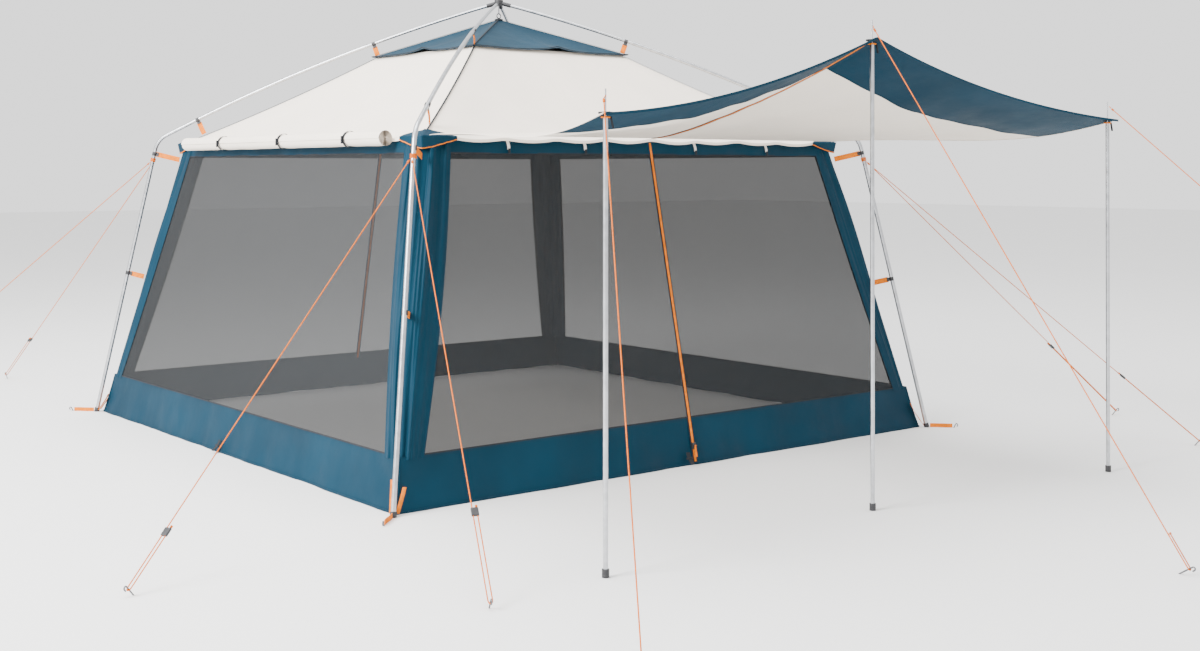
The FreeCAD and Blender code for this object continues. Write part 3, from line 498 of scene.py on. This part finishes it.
def joined(name, parts, materials, smooth=False):
    """One object from several parts; a part is (points, faces) or (points, faces, material number)."""
    verts = []
    faces = []
    numbers = []
    for part in parts:
        start = len(verts)
        verts += [tuple(p) for p in part[0]]
        faces += [tuple(start + i for i in face) for face in part[1]]
        numbers += [part[2] if len(part) > 2 else 0] * len(part[1])
    mesh = bpy.data.meshes.new(name)
    mesh.from_pydata(verts, [], faces)
    obj = add_object(name, mesh, materials)
    for polygon, number in zip(mesh.polygons, numbers):
        polygon.use_smooth = smooth
        polygon.material_index = number
    return obj


def steps(count, low=0.0, high=1.0):
    return [low + (high - low) * k / count for k in range(count + 1)]


def rough(p, size, depth):
    """Smooth unevenness of the given size and depth, the same on every run."""
    return depth * noise.noise(p / size)


# ---------------------------------------------------------------- walls
TILT = math.atan2(WALL_BASE_HALF - EAVE_HALF, EAVE_Z)
WALL_OUT = Vector((0, -math.cos(TILT), math.sin(TILT)))


def wall_half(z):
    return mix(WALL_BASE_HALF, EAVE_HALF, z / EAVE_Z)


def sleeve_width(z):
    return mix(SLEEVE_BASE, SLEEVE_TOP, (z - SKIRT_Z) / (EAVE_Z - SKIRT_Z))


def wall_point(side, x, z, out=0.0):
    """A point on one wall, x across it and z up, out metres in front of the cloth."""
    p = Vector((x, -wall_half(z), z)) + WALL_OUT * (out - CLOTH_DEPTH)
    return turned(p, SIDES[side])


def skirt(side):
    """Heavy band at the foot of the wall, a little loose between the corners."""
    def point(u, v):
        z = SKIRT_Z * v
        x = u * wall_half(z)
        slack = (1 - u ** 6) * SKIRT_SLACK
        seed = Vector((x, SIDES[side], z * 0.5))
        wave = rough(seed, 0.22, slack) + rough(seed, 0.07, slack * 0.25)
        droop = SKIRT_DROOP * math.sin(math.pi * v)
        past = max(0.0, abs(u) - SKIRT_CREASE_FROM)
        near = past / (1 - SKIRT_CREASE_FROM)
        crease = SKIRT_CREASE * math.sin(26 * past + 5 * v) * near * (1 - near) * 4
        return wall_point(side, x, z, wave * (1.0 - 0.55 * v) - droop + crease)

    rows = [[point(u, v) for u in steps(110, -1, 1)] for v in steps(12)]
    piece = cloth("skirt_cloth_" + side, rows, [TEAL])
    hem = strap([point(u, 0.0) + UP * 0.004 for u in steps(110, -1, 1)], UP, 0.008, 0.0025)
    hem_piece = joined("skirt_hem_" + side, [hem], [TEAL])
    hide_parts("skirt_" + side)


def screen(side):
    """Screen panel, bellied very slightly and held straight by a zip, with a dark binding round it."""
    def point(u, v):
        z = mix(SKIRT_Z, VALANCE_Z, v)
        x = u * (wall_half(z) - sleeve_width(z))
        across = 4 * abs(u) * (1 - abs(u)) if side in DOOR_SIDES else 1 - u ** 2
        belly = across * 4 * v * (1 - v)
        seed = Vector((x, SIDES[side], z))
        return wall_point(side, x, z, -SCREEN_BELLY * belly + rough(seed, 0.45, 0.006) * belly)

    rows = [[point(u, v) for u in steps(50, -1, 1)] for v in steps(30)]
    piece = cloth("screen_cloth_" + side, rows, [SCREEN])
    out = turned(WALL_OUT, SIDES[side]) - at(0, 0, 0)
    sill = turned((1, 0, 0), SIDES[side]) - at(0, 0, 0)
    lift = out * 0.002
    parts = []
    for v in (0.0, 1.0):
        parts.append(strap([point(u, v) + lift for u in steps(40, -1, 1)], sill.cross(out), BINDING, 0.001))
    for u in (-1.0, 1.0):
        parts.append(strap([point(u, v) + lift for v in steps(30)], sill, BINDING, 0.001))
    edge = joined("screen_binding_" + side, parts, [BLACK_WEB])
    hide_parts("mesh_" + side)


def valance(side):
    """Strip between the screen and the roof, its lower part a little uneven."""
    def point(u, v):
        z = mix(VALANCE_Z, EAVE_Z, v)
        x = u * (wall_half(z) - sleeve_width(z) + 0.004)
        seed = Vector((x, SIDES[side], z))
        return wall_point(side, x, z, 0.002 + rough(seed, 0.12, 0.006) * (1 - v))

    rows = [[point(u, v) for u in steps(80, -1, 1)] for v in steps(5)]
    return cloth("valance_" + side, rows, [TEAL])


def valances():
    pieces = [valance(side) for side in SIDES]
    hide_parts("eave_band")


SLEEVE_SLACK = {"front_left": 0.040, "front_right": 0.016, "back_right": 0.016, "back_left": 0.018}


def sleeve(corner):
    """Cloth round one corner: from a window's edge, round the corner, to the next window's edge."""
    slack = SLEEVE_SLACK[corner]
    diagonal = CORNERS[corner]

    def point(u, v):
        z = mix(SKIRT_Z - 0.012, EAVE_Z, v)
        width = sleeve_width(max(z, SKIRT_Z)) + slack * 0.6 * math.sin(math.pi * v)
        half = wall_half(z) - CLOTH_DEPTH
        near = half - width * abs(u)
        corner_xy = (half, near) if u > 0 else (near, half)
        p = Vector((corner_xy[0], corner_xy[1], z))
        round_off = SLEEVE_ROUND * math.exp(-(u / 0.16) ** 2)
        seed = Vector((u * 0.9, diagonal, z * 0.35))
        edge = 1 - abs(u) ** 5
        fold = slack * edge * math.sin(math.pi * min(v * 1.1, 1.0)) * (0.55 + 1.1 * noise.noise(seed * 2.6))
        crease = rough(Vector((u * 0.9, diagonal, z * 0.12)), 0.10, slack * 0.30) * edge
        pleat = slack * 0.28 * math.sin(11 * u + 1.3 * math.sin(4 * v)) * edge * mix(0.35, 1.0, v)
        outward = Vector((1, 1, 0)).normalized() * (fold + crease + pleat - round_off)
        outward += Vector((0.0, 1.0, 0.0) if u < 0 else (1.0, 0.0, 0.0)) * 0.004
        return turned(p + outward, diagonal - 45.0)

    rows = [[point(u, v) for u in steps(64, -1, 1)] for v in steps(70)]
    piece = cloth("sleeve_cloth_" + corner, rows, [TEAL])
    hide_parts("sleeve_" + corner)


def hood(corner):
    """Top of the corner sleeve, lapped over the roof's corner with piping along its lower edge."""
    slope = (CAP_Z - ROOF_EAVE_Z) / (ROOF_EAVE_HALF - CAP_HALF)
    edge = ROOF_EAVE_HALF + HOOD_LIFT

    def point(u, v):
        side = Vector((0, -1, 0)) if u > 0 else Vector((-1, 0, 0))
        inward = Vector((-1, 0, 0)) if u > 0 else Vector((0, -1, 0))
        inward = (Vector((-1, -1, 0)) * max(0.0, 1 - 3 * abs(u)) + inward).normalized()
        p = Vector((edge, edge, 0)) + side * HOOD_REACH * abs(u)
        lap = max(0.0, 2 * v - 1) * HOOD_LAP * (1 - abs(u) ** 1.6)
        p += inward * lap
        drop = max(0.0, 1 - 2 * v) * HOOD_DROP * (1 - 0.75 * abs(u) ** 1.3)
        p -= Vector((1, 1, 0)) * drop * 0.16 * (1 - abs(u))
        rise = slope * min(edge - p.x, edge - p.y) * (drop == 0.0)
        crease = rough(Vector((u * 0.3, v * 0.1, CORNERS[corner])), 0.06, 0.003)
        p.z = ROOF_EAVE_Z + HOOD_LIFT + max(rise, 0.0) - drop + crease
        return turned(p, CORNERS[corner] - 45.0)

    rows = [[point(u, v) for u in steps(48, -1, 1)] for v in steps(16)]
    piece = cloth("sleeve_hood_" + corner, rows, [TEAL])
    low_line = [point(u, 0.0) for u in steps(48, -1, 1)]
    joined("hood_piping_" + corner, [strap(low_line, UP, 0.004, 0.003)], [ORANGE])


# ---------------------------------------------------------------- roof
def ring_point(side, u, half, z):
    return turned((u * half, -half, z), SIDES[side])


def panel_sag(u, t, depth):
    """How far a roof panel hangs below flat: nothing along its edges."""
    return depth * (1 - u ** 2) * 4 * t * (1 - t)


def canopy():
    """The lower roof as one sheet all round, sagging a little between the hips."""
    def point(side, u, t):
        half = mix(ROOF_EAVE_HALF, CAP_HALF, t) - CLOTH_DEPTH
        z = mix(ROOF_EAVE_Z, CAP_Z, t) - CLOTH_DEPTH
        seed = ring_point(side, u, half, z)
        fold = rough(Vector((seed.x * 1.6, seed.y * 1.6, seed.z * 0.5)), 0.30, CANOPY_FOLD)
        lashed = LASH_DEPTH * abs(math.sin(4.5 * math.pi * u)) * (1 - t) ** 14
        drop = HIP_SAG * 4 * t * (1 - t) + panel_sag(u, t, CANOPY_SAG)
        drop += fold * (1 - u ** 6) * min(1.0, 6 * (1 - t)) + lashed
        return ring_point(side, u, half, z - drop)

    rows = []
    for t in steps(28):
        row = [point(side, u, t) for side in SIDES for u in steps(44, -1, 1)[:-1]]
        rows.append(row + row[:1])
    piece = cloth("canopy", rows, [CREAM])
    sharpen_columns(piece, rows, 44)
    seams = []
    for angle in CORNERS.values():
        line = []
        for t in steps(24):
            r = mix(ROOF_EAVE_HALF, CAP_HALF, t) * math.sqrt(2)
            z = mix(ROOF_EAVE_Z, CAP_Z, t) - HIP_SAG * 4 * t * (1 - t)
            line.append(turned((r, 0, z + 0.001), angle))
        across = turned((0, 1, 0), angle) - at(0, 0, 0)
        seams.append(strap(line, across, SEAM, 0.001))
    seam_piece = joined("canopy_seams", seams, [BLACK_WEB])
    hems = []
    for side in SIDES:
        out = turned((0, -1, 0), SIDES[side]) - at(0, 0, 0)
        line = [point(side, u, 0.0) + out * 0.001 + UP * 0.003 for u in steps(88, -1, 1)]
        hems.append(strap(line, UP, ROOF_HEM, TAPE_THICK))
    hem_piece = joined("canopy_hem", hems, [CREAM])
    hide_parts("roof_canopy")


def sharpen_columns(piece, rows, every):
    """Keep the ridge lines of a ring of panels crisp."""
    wide = len(rows[0])
    piece.data.shade_smooth()
    for edge in piece.data.edges:
        a, b = edge.vertices
        if a % wide == b % wide and (a % wide) % every == 0:
            edge.use_edge_sharp = True


def cap_point(side, u, t, drop=0.0):
    """A point of the peak cap; t is 0 at its edge and 1 at the peak."""
    slope = (PEAK_Z - CAP_Z - CAP_LIFT) / CAP_HALF
    edge_half = CAP_HALF + CAP_OVERHANG
    low = CAP_Z + CAP_LIFT - CAP_OVERHANG * slope
    half = mix(edge_half, CAP_TIP, t)
    z = mix(low, PEAK_Z, t) - panel_sag(u, t, CANOPY_SAG) - drop
    propped = CAP_PROP * math.exp(-(abs(u - 0.05) / 0.13) ** 1.3) * (1 - t) ** 4
    slack = -CAP_SLACK * (1 - math.cos(2 * math.pi * u)) * (1 - t) ** 3
    return ring_point(side, u, half, z + propped + slack)


def vent_cap():
    """The peak cap as one sheet, its edge propped open in the middle of each side."""
    rows = []
    for t in steps(18):
        row = [cap_point(side, u, t, CLOTH_DEPTH) for side in SIDES for u in steps(30, -1, 1)[:-1]]
        rows.append(row + row[:1])
    piece = cloth("vent_cap_cloth", rows, [TEAL])
    sharpen_columns(piece, rows, 30)
    seams = []
    for angle in CORNERS.values():
        corner_side = {225.0: "front", 315.0: "right", 45.0: "back", 135.0: "left"}[angle]
        line = [cap_point(corner_side, -1.0, t, -0.001) for t in steps(18)]
        across = turned((0, 1, 0), angle) - at(0, 0, 0)
        seams.append(strap(line, across, SEAM * 0.8, 0.001))
    for side in SIDES:
        line = [cap_point(side, u, 0.0, -0.003) for u in steps(60, -1, 1)]
        seams.append(strap(line, UP, CAP_PIPING, TAPE_THICK))
    trim = joined("vent_cap_trim", seams, [BLACK_WEB])
    top = at(0, 0, PEAK_Z + 0.002)
    patch = joined("peak_patch", [lathe_ring(top, UP, 0.018, 0.004)], [BLACK_WEB], True)
    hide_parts("vent_cap")


def vent_screen():
    """Screen across the roof's top opening, below the cap."""
    rows = []
    half_edge = CAP_HALF - 0.004
    for t in steps(10):
        half = mix(half_edge, 0.02, t)
        z = mix(CAP_Z - VENT_DROP, PEAK_Z - 2 * VENT_DROP, t) - CLOTH_DEPTH
        row = [ring_point(side, u, half, z) for side in SIDES for u in steps(10, -1, 1)[:-1]]
        rows.append(row + row[:1])
    piece = cloth("vent_screen", rows, [SCREEN])
    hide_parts("vent_mesh")


# ---------------------------------------------------------------- rolled wall
def roll_radius(y, turn_share):
    """Radius of the roll's spiral, pulled in at each tie and a little uneven."""
    pinch = sum(math.exp(-((y - tie) / 0.035) ** 2) for tie in ROLL_TIES)
    loose = 1.0 - 0.10 * pinch
    return mix(ROLL_CORE_R, ROLL_R - 0.001, turn_share) * loose


def rolled_wall():
    """The storm wall of the left side, rolled up under the roof's edge."""
    centre_x = -(ROOF_EAVE_HALF + ROLL_STANDOFF + ROLL_R)
    per_turn = 22
    count = int(ROLL_TURNS * per_turn)
    rows = []
    for y in steps(90, -ROLL_HALF_LENGTH + 0.004, ROLL_HALF_LENGTH - 0.004):
        row = []
        for k in range(count + 1):
            angle = 2 * math.pi * k / per_turn
            share = k / count
            seed = Vector((y * 1.3, share * 2.0, angle % (2 * math.pi) * 0.12))
            r = roll_radius(y, share) * (1 + rough(seed, 0.16, 0.05) - 0.03)
            row.append(at(centre_x + r * math.cos(angle), y, ROOF_EAVE_Z + r * math.sin(angle)))
        rows.append(row)
    piece = cloth("rolled_wall_cloth", rows, [CREAM])
    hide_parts("rolled_wall")


def ties():
    """Toggled straps: three round the roll, four hanging unused on the front valance."""
    parts = []
    centre_x = -(ROOF_EAVE_HALF + ROLL_STANDOFF + ROLL_R)
    for y in ROLL_TIES:
        loop = []
        for k in range(33):
            a = 2 * math.pi * k / 32
            r = ROLL_R * 0.93 + 0.0015
            loop.append(at(centre_x + r * math.cos(a), y, ROOF_EAVE_Z + r * math.sin(a)))
        parts.append(strap(loop, Vector((0, 1, 0)), TIE_WIDTH, ROLL_TIE_RIBBON))
        out = at(centre_x - ROLL_R - 0.004, y, ROOF_EAVE_Z)
        parts.append(bar(out + UP * 0.014, out - UP * 0.018, TOGGLE_R))
    for x in FRONT_TIES:
        line = []
        for v in steps(10):
            z = EAVE_Z - 0.002 - TIE_DROP * v
            line.append(wall_point("front", x + 0.003 * math.sin(3 * v), z, 0.006 + 0.004 * v))
        verts, faces = strap(line, Vector((1, 0, 0)), TIE_WIDTH, TIE_RIBBON)
        parts.append((verts, faces, 1))
        low = line[-1]
        parts.append(bar(low + Vector((0, -0.003, 0.004)), low + Vector((0, -0.005, -0.016)), FRONT_TOGGLE_R))
    piece = joined("toggle_ties", parts, [BLACK_WEB, PALE_WEB])
    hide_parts("roll_ties")


def hem_loops():
    """Short black loop with its toggle at the middle of each wall's hem."""
    parts = []
    for side in SIDES:
        sill = turned((1, 0, 0), SIDES[side]) - at(0, 0, 0)
        line = []
        for v in steps(8):
            line.append(wall_point(side, HEM_LOOP_X, mix(0.055, 0.004, v), 0.012 + 0.024 * v ** 2))
        parts.append(strap(line, sill, HEM_LOOP_WIDTH, RIBBON))
        parts.append(bar(line[4] - sill * 0.016, line[4] + sill * 0.020, HEM_TOGGLE_R))
    joined("hem_loops", parts, [BLACK_WEB])


def webbing_pieces():
    """The corners of each piece of the CAD's webbing, found as the faces that share corners."""
    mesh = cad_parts["webbing"].data
    pieces = []
    for polygon in mesh.polygons:
        spots = {tuple(round(c, 6) for c in mesh.vertices[i].co) for i in polygon.vertices}
        met = [piece for piece in pieces if piece & spots]
        pieces = [piece for piece in pieces if not piece & spots]
        pieces.append(spots.union(*met))
    return [[Vector(spot) for spot in sorted(piece)] for piece in pieces]


def strip_ends(spots):
    """Middle of each end of a box of webbing: the upper end first, or the inner one if it lies level."""
    near = [spot for spot in spots if (spot - spots[0]).length < 1.01 * TAB_WIDTH]
    far = [spot for spot in spots if spot not in near]
    ends = [sum(end, Vector()) / len(end) for end in (near, far)]
    return sorted(ends, key=lambda end: (-round(end.z, 4), (end - at(0, 0, end.z)).length))


def tab(start, end, across):
    """Ribbon from a clip to the cloth, with a row of stitches near each end."""
    along = (end - start).normalized()
    wide = along.cross(across)
    line = []
    for v in steps(10, -0.12, 1.0):
        share = max(v, 0.0)
        bow = across * RIBBON_BOW * math.sin(math.pi * share)
        line.append(start + (end - start) * v + along * TAB_SEWN * share + bow)
    parts = [strap(line, wide, TAB_WIDTH, RIBBON)]
    for stitch in (0.10, 0.86):
        centre = start + (end - start) * stitch
        row = [centre - along * STITCH_HALF, centre + along * STITCH_HALF]
        parts.append(strap(row, wide, TAB_WIDTH * 0.8, STITCHED))
    return parts


def anchor(start, end, across):
    """Webbing on its edge, from a foot to its peg, slightly waved."""
    line = []
    for v in steps(12):
        line.append(start + (end - start) * v + across * RIBBON_BOW * math.sin(2 * math.pi * v))
    return [strap(line, UP, ANCHOR_WIDTH, ANCHOR_RIBBON)]


def corner_webbing():
    """Tabs from the clips to the cloth, anchors from feet to pegs, and cord turns round the legs."""
    parts = []
    for spots in webbing_pieces():
        if len(spots) == BOX_CORNERS:
            start, end = strip_ends(spots)
            across = UP.cross(start - at(0, 0, 0)).normalized()
            parts += (anchor if start.z < ANCHOR_WIDTH else tab)(start, end, across)
    turns = []
    for corner, angle in CORNERS.items():
        axis = Matrix.Rotation(math.radians(angle), 3, "Z") @ LEG_DIR
        for k in range(4):
            ring = collar_centre(corner) + axis * (COLLAR_HEIGHT * (k / 3 - 0.5))
            turns.append(lathe_ring(ring, axis, LEG_OD / 2 + CORD_D / 2, CORD_D / 2, 28, 8))
    webbing = joined("corner_tabs", parts, [ORANGE])
    joined("collar_cords", turns, [CORD], True)
    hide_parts("webbing")


def foot_straps():
    """Two orange straps from each foot up to the corner of the skirt."""
    parts = []
    foot_r = FOOT_HALF * math.sqrt(2)
    for angle in CORNERS.values():
        across = turned((0, 1, 0), angle) - at(0, 0, 0)
        for shift, top in FOOT_STRAPS:
            wall_r = wall_half(top) * math.sqrt(2) - abs(shift)
            line = []
            for v in steps(8):
                r = mix(wall_r + 0.014, foot_r - 0.016, v)
                line.append(turned((r, shift * (1 - 0.5 * v), mix(top, 0.010, v ** 0.9)), angle))
            parts.append(strap(line, across, FOOT_STRAP_WIDTH, RIBBON))
    joined("foot_straps", parts, [ORANGE])


# ---------------------------------------------------------------- awning
def awning_point(across, out):
    """The awning's upper face: across is -1, 0, 1 on the poles' lines, out is 1 at the grommets."""
    eave_y = -(ROOF_EAVE_HALF + AWNING_EAVE_GAP)
    name, sag = ("left", AWNING_SAG_LEFT) if across < 0 else ("right", AWNING_SAG_RIGHT)
    side = Vector(AWNING_POLES[name])
    middle = Vector(AWNING_POLES["middle"])
    share = abs(across)
    hang = 4 * share * (1 - share)
    edge = middle + (side - middle) * share
    edge += Vector((0, AWNING_SCALLOP * hang, -sag * hang))
    start = Vector((across * AWNING_EAVE_HALF, eave_y, AWNING_EAVE_Z))
    rise = out ** (AWNING_RISE_POWER - AWNING_RISE_EASE * share)
    return Vector((mix(start.x, edge.x, out), mix(start.y, edge.y, out), mix(start.z, edge.z, rise)))


def awning_surface(u, v, above=0.0):
    """A point of the cloth, u from -1 to 1 and v from 0 to 1 over the whole sheet."""
    reach = 1 + AWNING_HEM / AWNING_EAVE_HALF
    p = awning_point(u * reach, max(v * reach, 0.0))
    free = math.sin(math.pi * min(v, 1.0)) * (1 - u ** 8)
    tension = rough(Vector((p.x * 2.6, p.y * 0.55, 0.0)), 0.42, 0.014) * free
    crumple = rough(Vector((p.x, p.y, 3.0)), 0.11, 0.003) * free
    belly = AWNING_BELLY * min(1.0, 2.5 * abs(u)) * math.sin(math.pi * v ** 1.8)
    return at(p.x, p.y, p.z - 0.002 + above + tension + crumple - belly)


def awning_band_edge(u):
    """Where the coloured outer band begins, nearer the house at the sides."""
    pucker = 0.006 * math.sin(30 * u) * max(0.0, -u) ** 3
    return AWNING_BAND - 0.045 * abs(u) + pucker


def awning_share(u, t):
    """Share of the sheet's length for a mesh row at t, so that one row runs along the band's edge."""
    edge = awning_band_edge(u)
    if t < AWNING_BAND:
        return edge * t / AWNING_BAND
    return mix(edge, 1.0, (t - AWNING_BAND) / (1 - AWNING_BAND))


def awning():
    """The propped storm wall: a pale sheet with a coloured outer band, its zip and its hems."""
    columns, rows_count = 120, 60
    rows = [[awning_surface(u, awning_share(u, t)) for u in steps(columns, -1, 1)] for t in steps(rows_count)]

    def zone(j, i):
        return 1 if (j + 0.5) / rows_count > AWNING_BAND else 0

    piece = cloth("awning_cloth", rows, [CREAM, TEAL], zone)
    bands = []
    outer = [awning_surface(u, 1.0, -0.004) for u in steps(120, -1, 1)]
    bands.append((*strap(outer, UP, AWNING_OUTER_HEM, AWNING_HEM_THICK), 0))
    for u in (-1.0, 1.0):
        side = [awning_surface(u, v) for v in steps(40)]
        bands.append((*strap(side, Vector((1, 0, 0.15)), AWNING_SIDE_HEM, AWNING_HEM_THICK), 1))
    seam = [awning_surface(u, awning_band_edge(u)) for u in steps(120, -1, 1)]
    bands.append((*strap(seam, Vector((0, 1, 0.1)), AWNING_BAND_SEAM, AWNING_SEAM_THICK), 0))
    hems = joined("awning_hems", bands, [TEAL, CREAM])
    zip_u = AWNING_POLES["middle"][0] / AWNING_EAVE_HALF * 0.2
    zip_parts = []
    middle = [awning_surface(zip_u, v) for v in steps(60, 0.01, AWNING_ZIP_END)]
    for shift in (-AWNING_TAPE_SHIFT, AWNING_TAPE_SHIFT):
        line = [p + Vector((shift, 0, 0)) for p in middle]
        zip_parts.append((*strap(line, Vector((1, 0, 0)), AWNING_ZIP_TAPE, AWNING_TAPE_THICK), 1))
    zip_parts.append((*strap(middle, Vector((1, 0, 0)), AWNING_ZIP_COIL, AWNING_COIL_THICK), 0))
    zipper = joined("awning_zip", zip_parts, [ORANGE, BLACK_WEB])
    patches = []
    for name, u in (("left", -1.0), ("middle", 0.0), ("right", 1.0)):
        centre = at(*AWNING_POLES[name])
        patches.append((*lathe_ring(centre - UP * 0.002, UP, EYELET_PATCH_R, 0.0035, 24, 6), 0))
        patches.append((*lathe_ring(centre - UP * TIP_LOOP_DROP, UP, TIP_LOOP_R, 0.0030, 20, 6), 1))
        hanging = [centre + Vector((0.016 + 0.010 * v, -0.006, -0.014 - 0.036 * v)) for v in steps(4)]
        patches.append((*strap(hanging, Vector((0, 1, 0)), TIP_TAG_WIDTH, 0.002), 0))
    patch = joined("awning_eyelet_patches", patches, [BLACK_WEB, ORANGE], True)
    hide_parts("awning")


# ---------------------------------------------------------------- door zips
def door_zips():
    """Black tape each side of a broad orange coil, up both doors."""
    parts = []
    for side in DOOR_SIDES:
        sill = turned((1, 0, 0), SIDES[side]) - at(0, 0, 0)
        heights = steps(60, ZIP_START_Z, EAVE_Z - ZIP_END_GAP)
        for shift in (-ZIP_TAPE, ZIP_TAPE):
            line = [wall_point(side, shift, z, 0.0005) for z in heights]
            parts.append((*strap(line, sill, ZIP_TAPE, ZIP_TAPE_THICK), 1))
        line = [wall_point(side, 0.0, z, 0.0008) for z in heights]
        parts.append((*strap(line, sill, ZIP_COIL, ZIP_COIL_THICK), 0))
    piece = joined("door_zip_tapes", parts, [ORANGE, BLACK_WEB])
    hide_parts("zip_tapes")


# ---------------------------------------------------------------- guy lines
LEG_DIR = Vector(((KNEE_HALF - FOOT_HALF) * math.sqrt(2), 0, KNEE_Z)).normalized()


def collar_centre(corner):
    p = Vector((KNEE_HALF * math.sqrt(2), 0, KNEE_Z)) - LEG_DIR * COLLAR_DROP
    return turned(p, CORNERS[corner])


def guy_line(name, top, peg, knot_start, back):
    """A guy line as one curve through the corners of its route, and its two knots."""
    loop = at(peg[0], peg[1], WRAP_Z)
    along = (loop - top).normalized()
    side = along.cross(UP).normalized() * LOOP_R
    start = top + along * (knot_start + KNOT_LENGTH) + side
    loop_near = loop + along * LOOP_R + side
    loop_far = loop + along * LOOP_R - side
    end = loop - side - along * back
    approach = along * (LOOP_R + 6 * CORD_D)
    route = [start, loop_near - approach, loop_near, loop_far, loop_far - approach, end]

    data = bpy.data.curves.new("guy_" + name, "CURVE")
    data.dimensions = "3D"
    spline = data.splines.new("NURBS")
    spline.points.add(len(route) - 1)
    for point, p in zip(spline.points, route):
        point.co = (*p, 1.0)
    spline.order_u = 3
    spline.use_endpoint_u = True
    data.resolution_u = 16
    data.bevel_depth = CORD_D / 2
    data.bevel_resolution = 3
    data.use_fill_caps = True
    line = add_object("guy_" + name, data, [CORD])

    wraps = []
    for place, turns in ((start, 3), (end, 2)):
        for k in range(turns):
            centre = place - along * (KNOT_TURN_GAP + KNOT_TURN_STEP * k)
            wraps.append(lathe_ring(centre, along, KNOT_TURN_R, KNOT_TURN_THICK, 14, 8))
    wraps.append(bar(start - along * KNOT_LENGTH, top + along * SPIKE_OFFSET, CORD_D / 2 * 0.8))
    knots = joined("guy_knots_" + name, wraps, [CORD], True)
    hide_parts("guy_line_" + name)


def guy_lines():
    for name, (corner, peg, slider) in CORNER_GUYS.items():
        guy_line(name, collar_centre(corner), peg, CORNER_KNOT_START, slider + TENSIONER_LENGTH)
    for name, (pole, peg) in AWNING_GUYS.items():
        top = at(*AWNING_POLES[pole]) + UP * AWNING_GUY_LIFT
        guy_line(name, top, peg, AWNING_KNOT_START, AWNING_RETURN)


# ---------------------------------------------------------------- CAD nodes that stay
def dress_nodes():
    """Give each kept CAD node its material."""
    looks = {
        "leg_feet": PLASTIC, "hub": PLASTIC, "pole_clips": PLASTIC, "peak_hook": STEEL,
        "ground_pegs": STEEL, "awning_grommets": STEEL,
        "zip_slider": PLASTIC, "zip_pull": ORANGE, "tensioner": PLASTIC,
    }
    for name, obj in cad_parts.items():
        chosen = next((look for key, look in looks.items() if name.startswith(key)), TUBE)
        obj.data.materials.clear()
        obj.data.materials.append(chosen)
    for pole in AWNING_POLES:
        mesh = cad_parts["awning_pole_" + pole].data
        mesh.materials.append(PLASTIC)
        for polygon in mesh.polygons:
            polygon.material_index = 1 if polygon.center.z < FOOT_CAP_TOP else 0


# ---------------------------------------------------------------- stage, light and camera
def stage():
    mesh = bpy.data.meshes.new("floor")
    mesh.from_pydata([(-FLOOR_HALF, -FLOOR_HALF, 0), (FLOOR_HALF, -FLOOR_HALF, 0),
                      (FLOOR_HALF, FLOOR_HALF, 0), (-FLOOR_HALF, FLOOR_HALF, 0)], [], [(0, 1, 2, 3)])
    mesh.materials.append(floor_look())
    floor = bpy.data.objects.new("floor", mesh)
    bpy.context.scene.collection.objects.link(floor)
    floor.location.z = -0.001


def soft_light(name, place, target, size, power):
    data = bpy.data.lights.new(name, "AREA")
    data.shape = "SQUARE"
    data.size = size
    data.energy = power
    obj = bpy.data.objects.new(name, data)
    bpy.context.scene.collection.objects.link(obj)
    obj.location = place
    obj.rotation_euler = (Vector(target) - Vector(place)).to_track_quat("-Z", "Y").to_euler()


def light():
    world = bpy.data.worlds.new("studio")
    world.use_nodes = True
    background = world.node_tree.nodes["Background"]
    background.inputs["Color"].default_value = (1.0, 1.0, 1.0, 1.0)
    background.inputs["Strength"].default_value = SKY_STRENGTH
    bpy.context.scene.world = world
    soft_light("key", (-9.0, -1.0, 5.5), (0, 0.5, 0.8), 4.0, KEY_POWER)
    soft_light("top", (-1.0, 0.5, 8.0), (0, 0.5, 1.0), 6.0, TOP_POWER)


def camera():
    """Three-quarter view from the awning's left, a little below the eaves."""
    data = bpy.data.cameras.new("camera")
    data.lens = CAMERA_LENS
    data.sensor_width = CAMERA_SENSOR
    data.shift_y = CAMERA_SHIFT
    data.clip_end = 5 * FLOOR_HALF
    obj = bpy.data.objects.new("camera", data)
    bpy.context.scene.collection.objects.link(obj)
    obj.location = at(*CAMERA_PLACE)
    obj.rotation_euler = CAMERA_TURN
    bpy.context.scene.camera = obj


# ---------------------------------------------------------------- build
camera()
light()
stage()
guy_lines()
for wall in SIDES:
    skirt(wall)
    screen(wall)
valances()
for house_corner in CORNERS:
    sleeve(house_corner)
    hood(house_corner)
canopy()
vent_cap()
vent_screen()
rolled_wall()
ties()
hem_loops()
corner_webbing()
foot_straps()
awning()
door_zips()
dress_nodes()
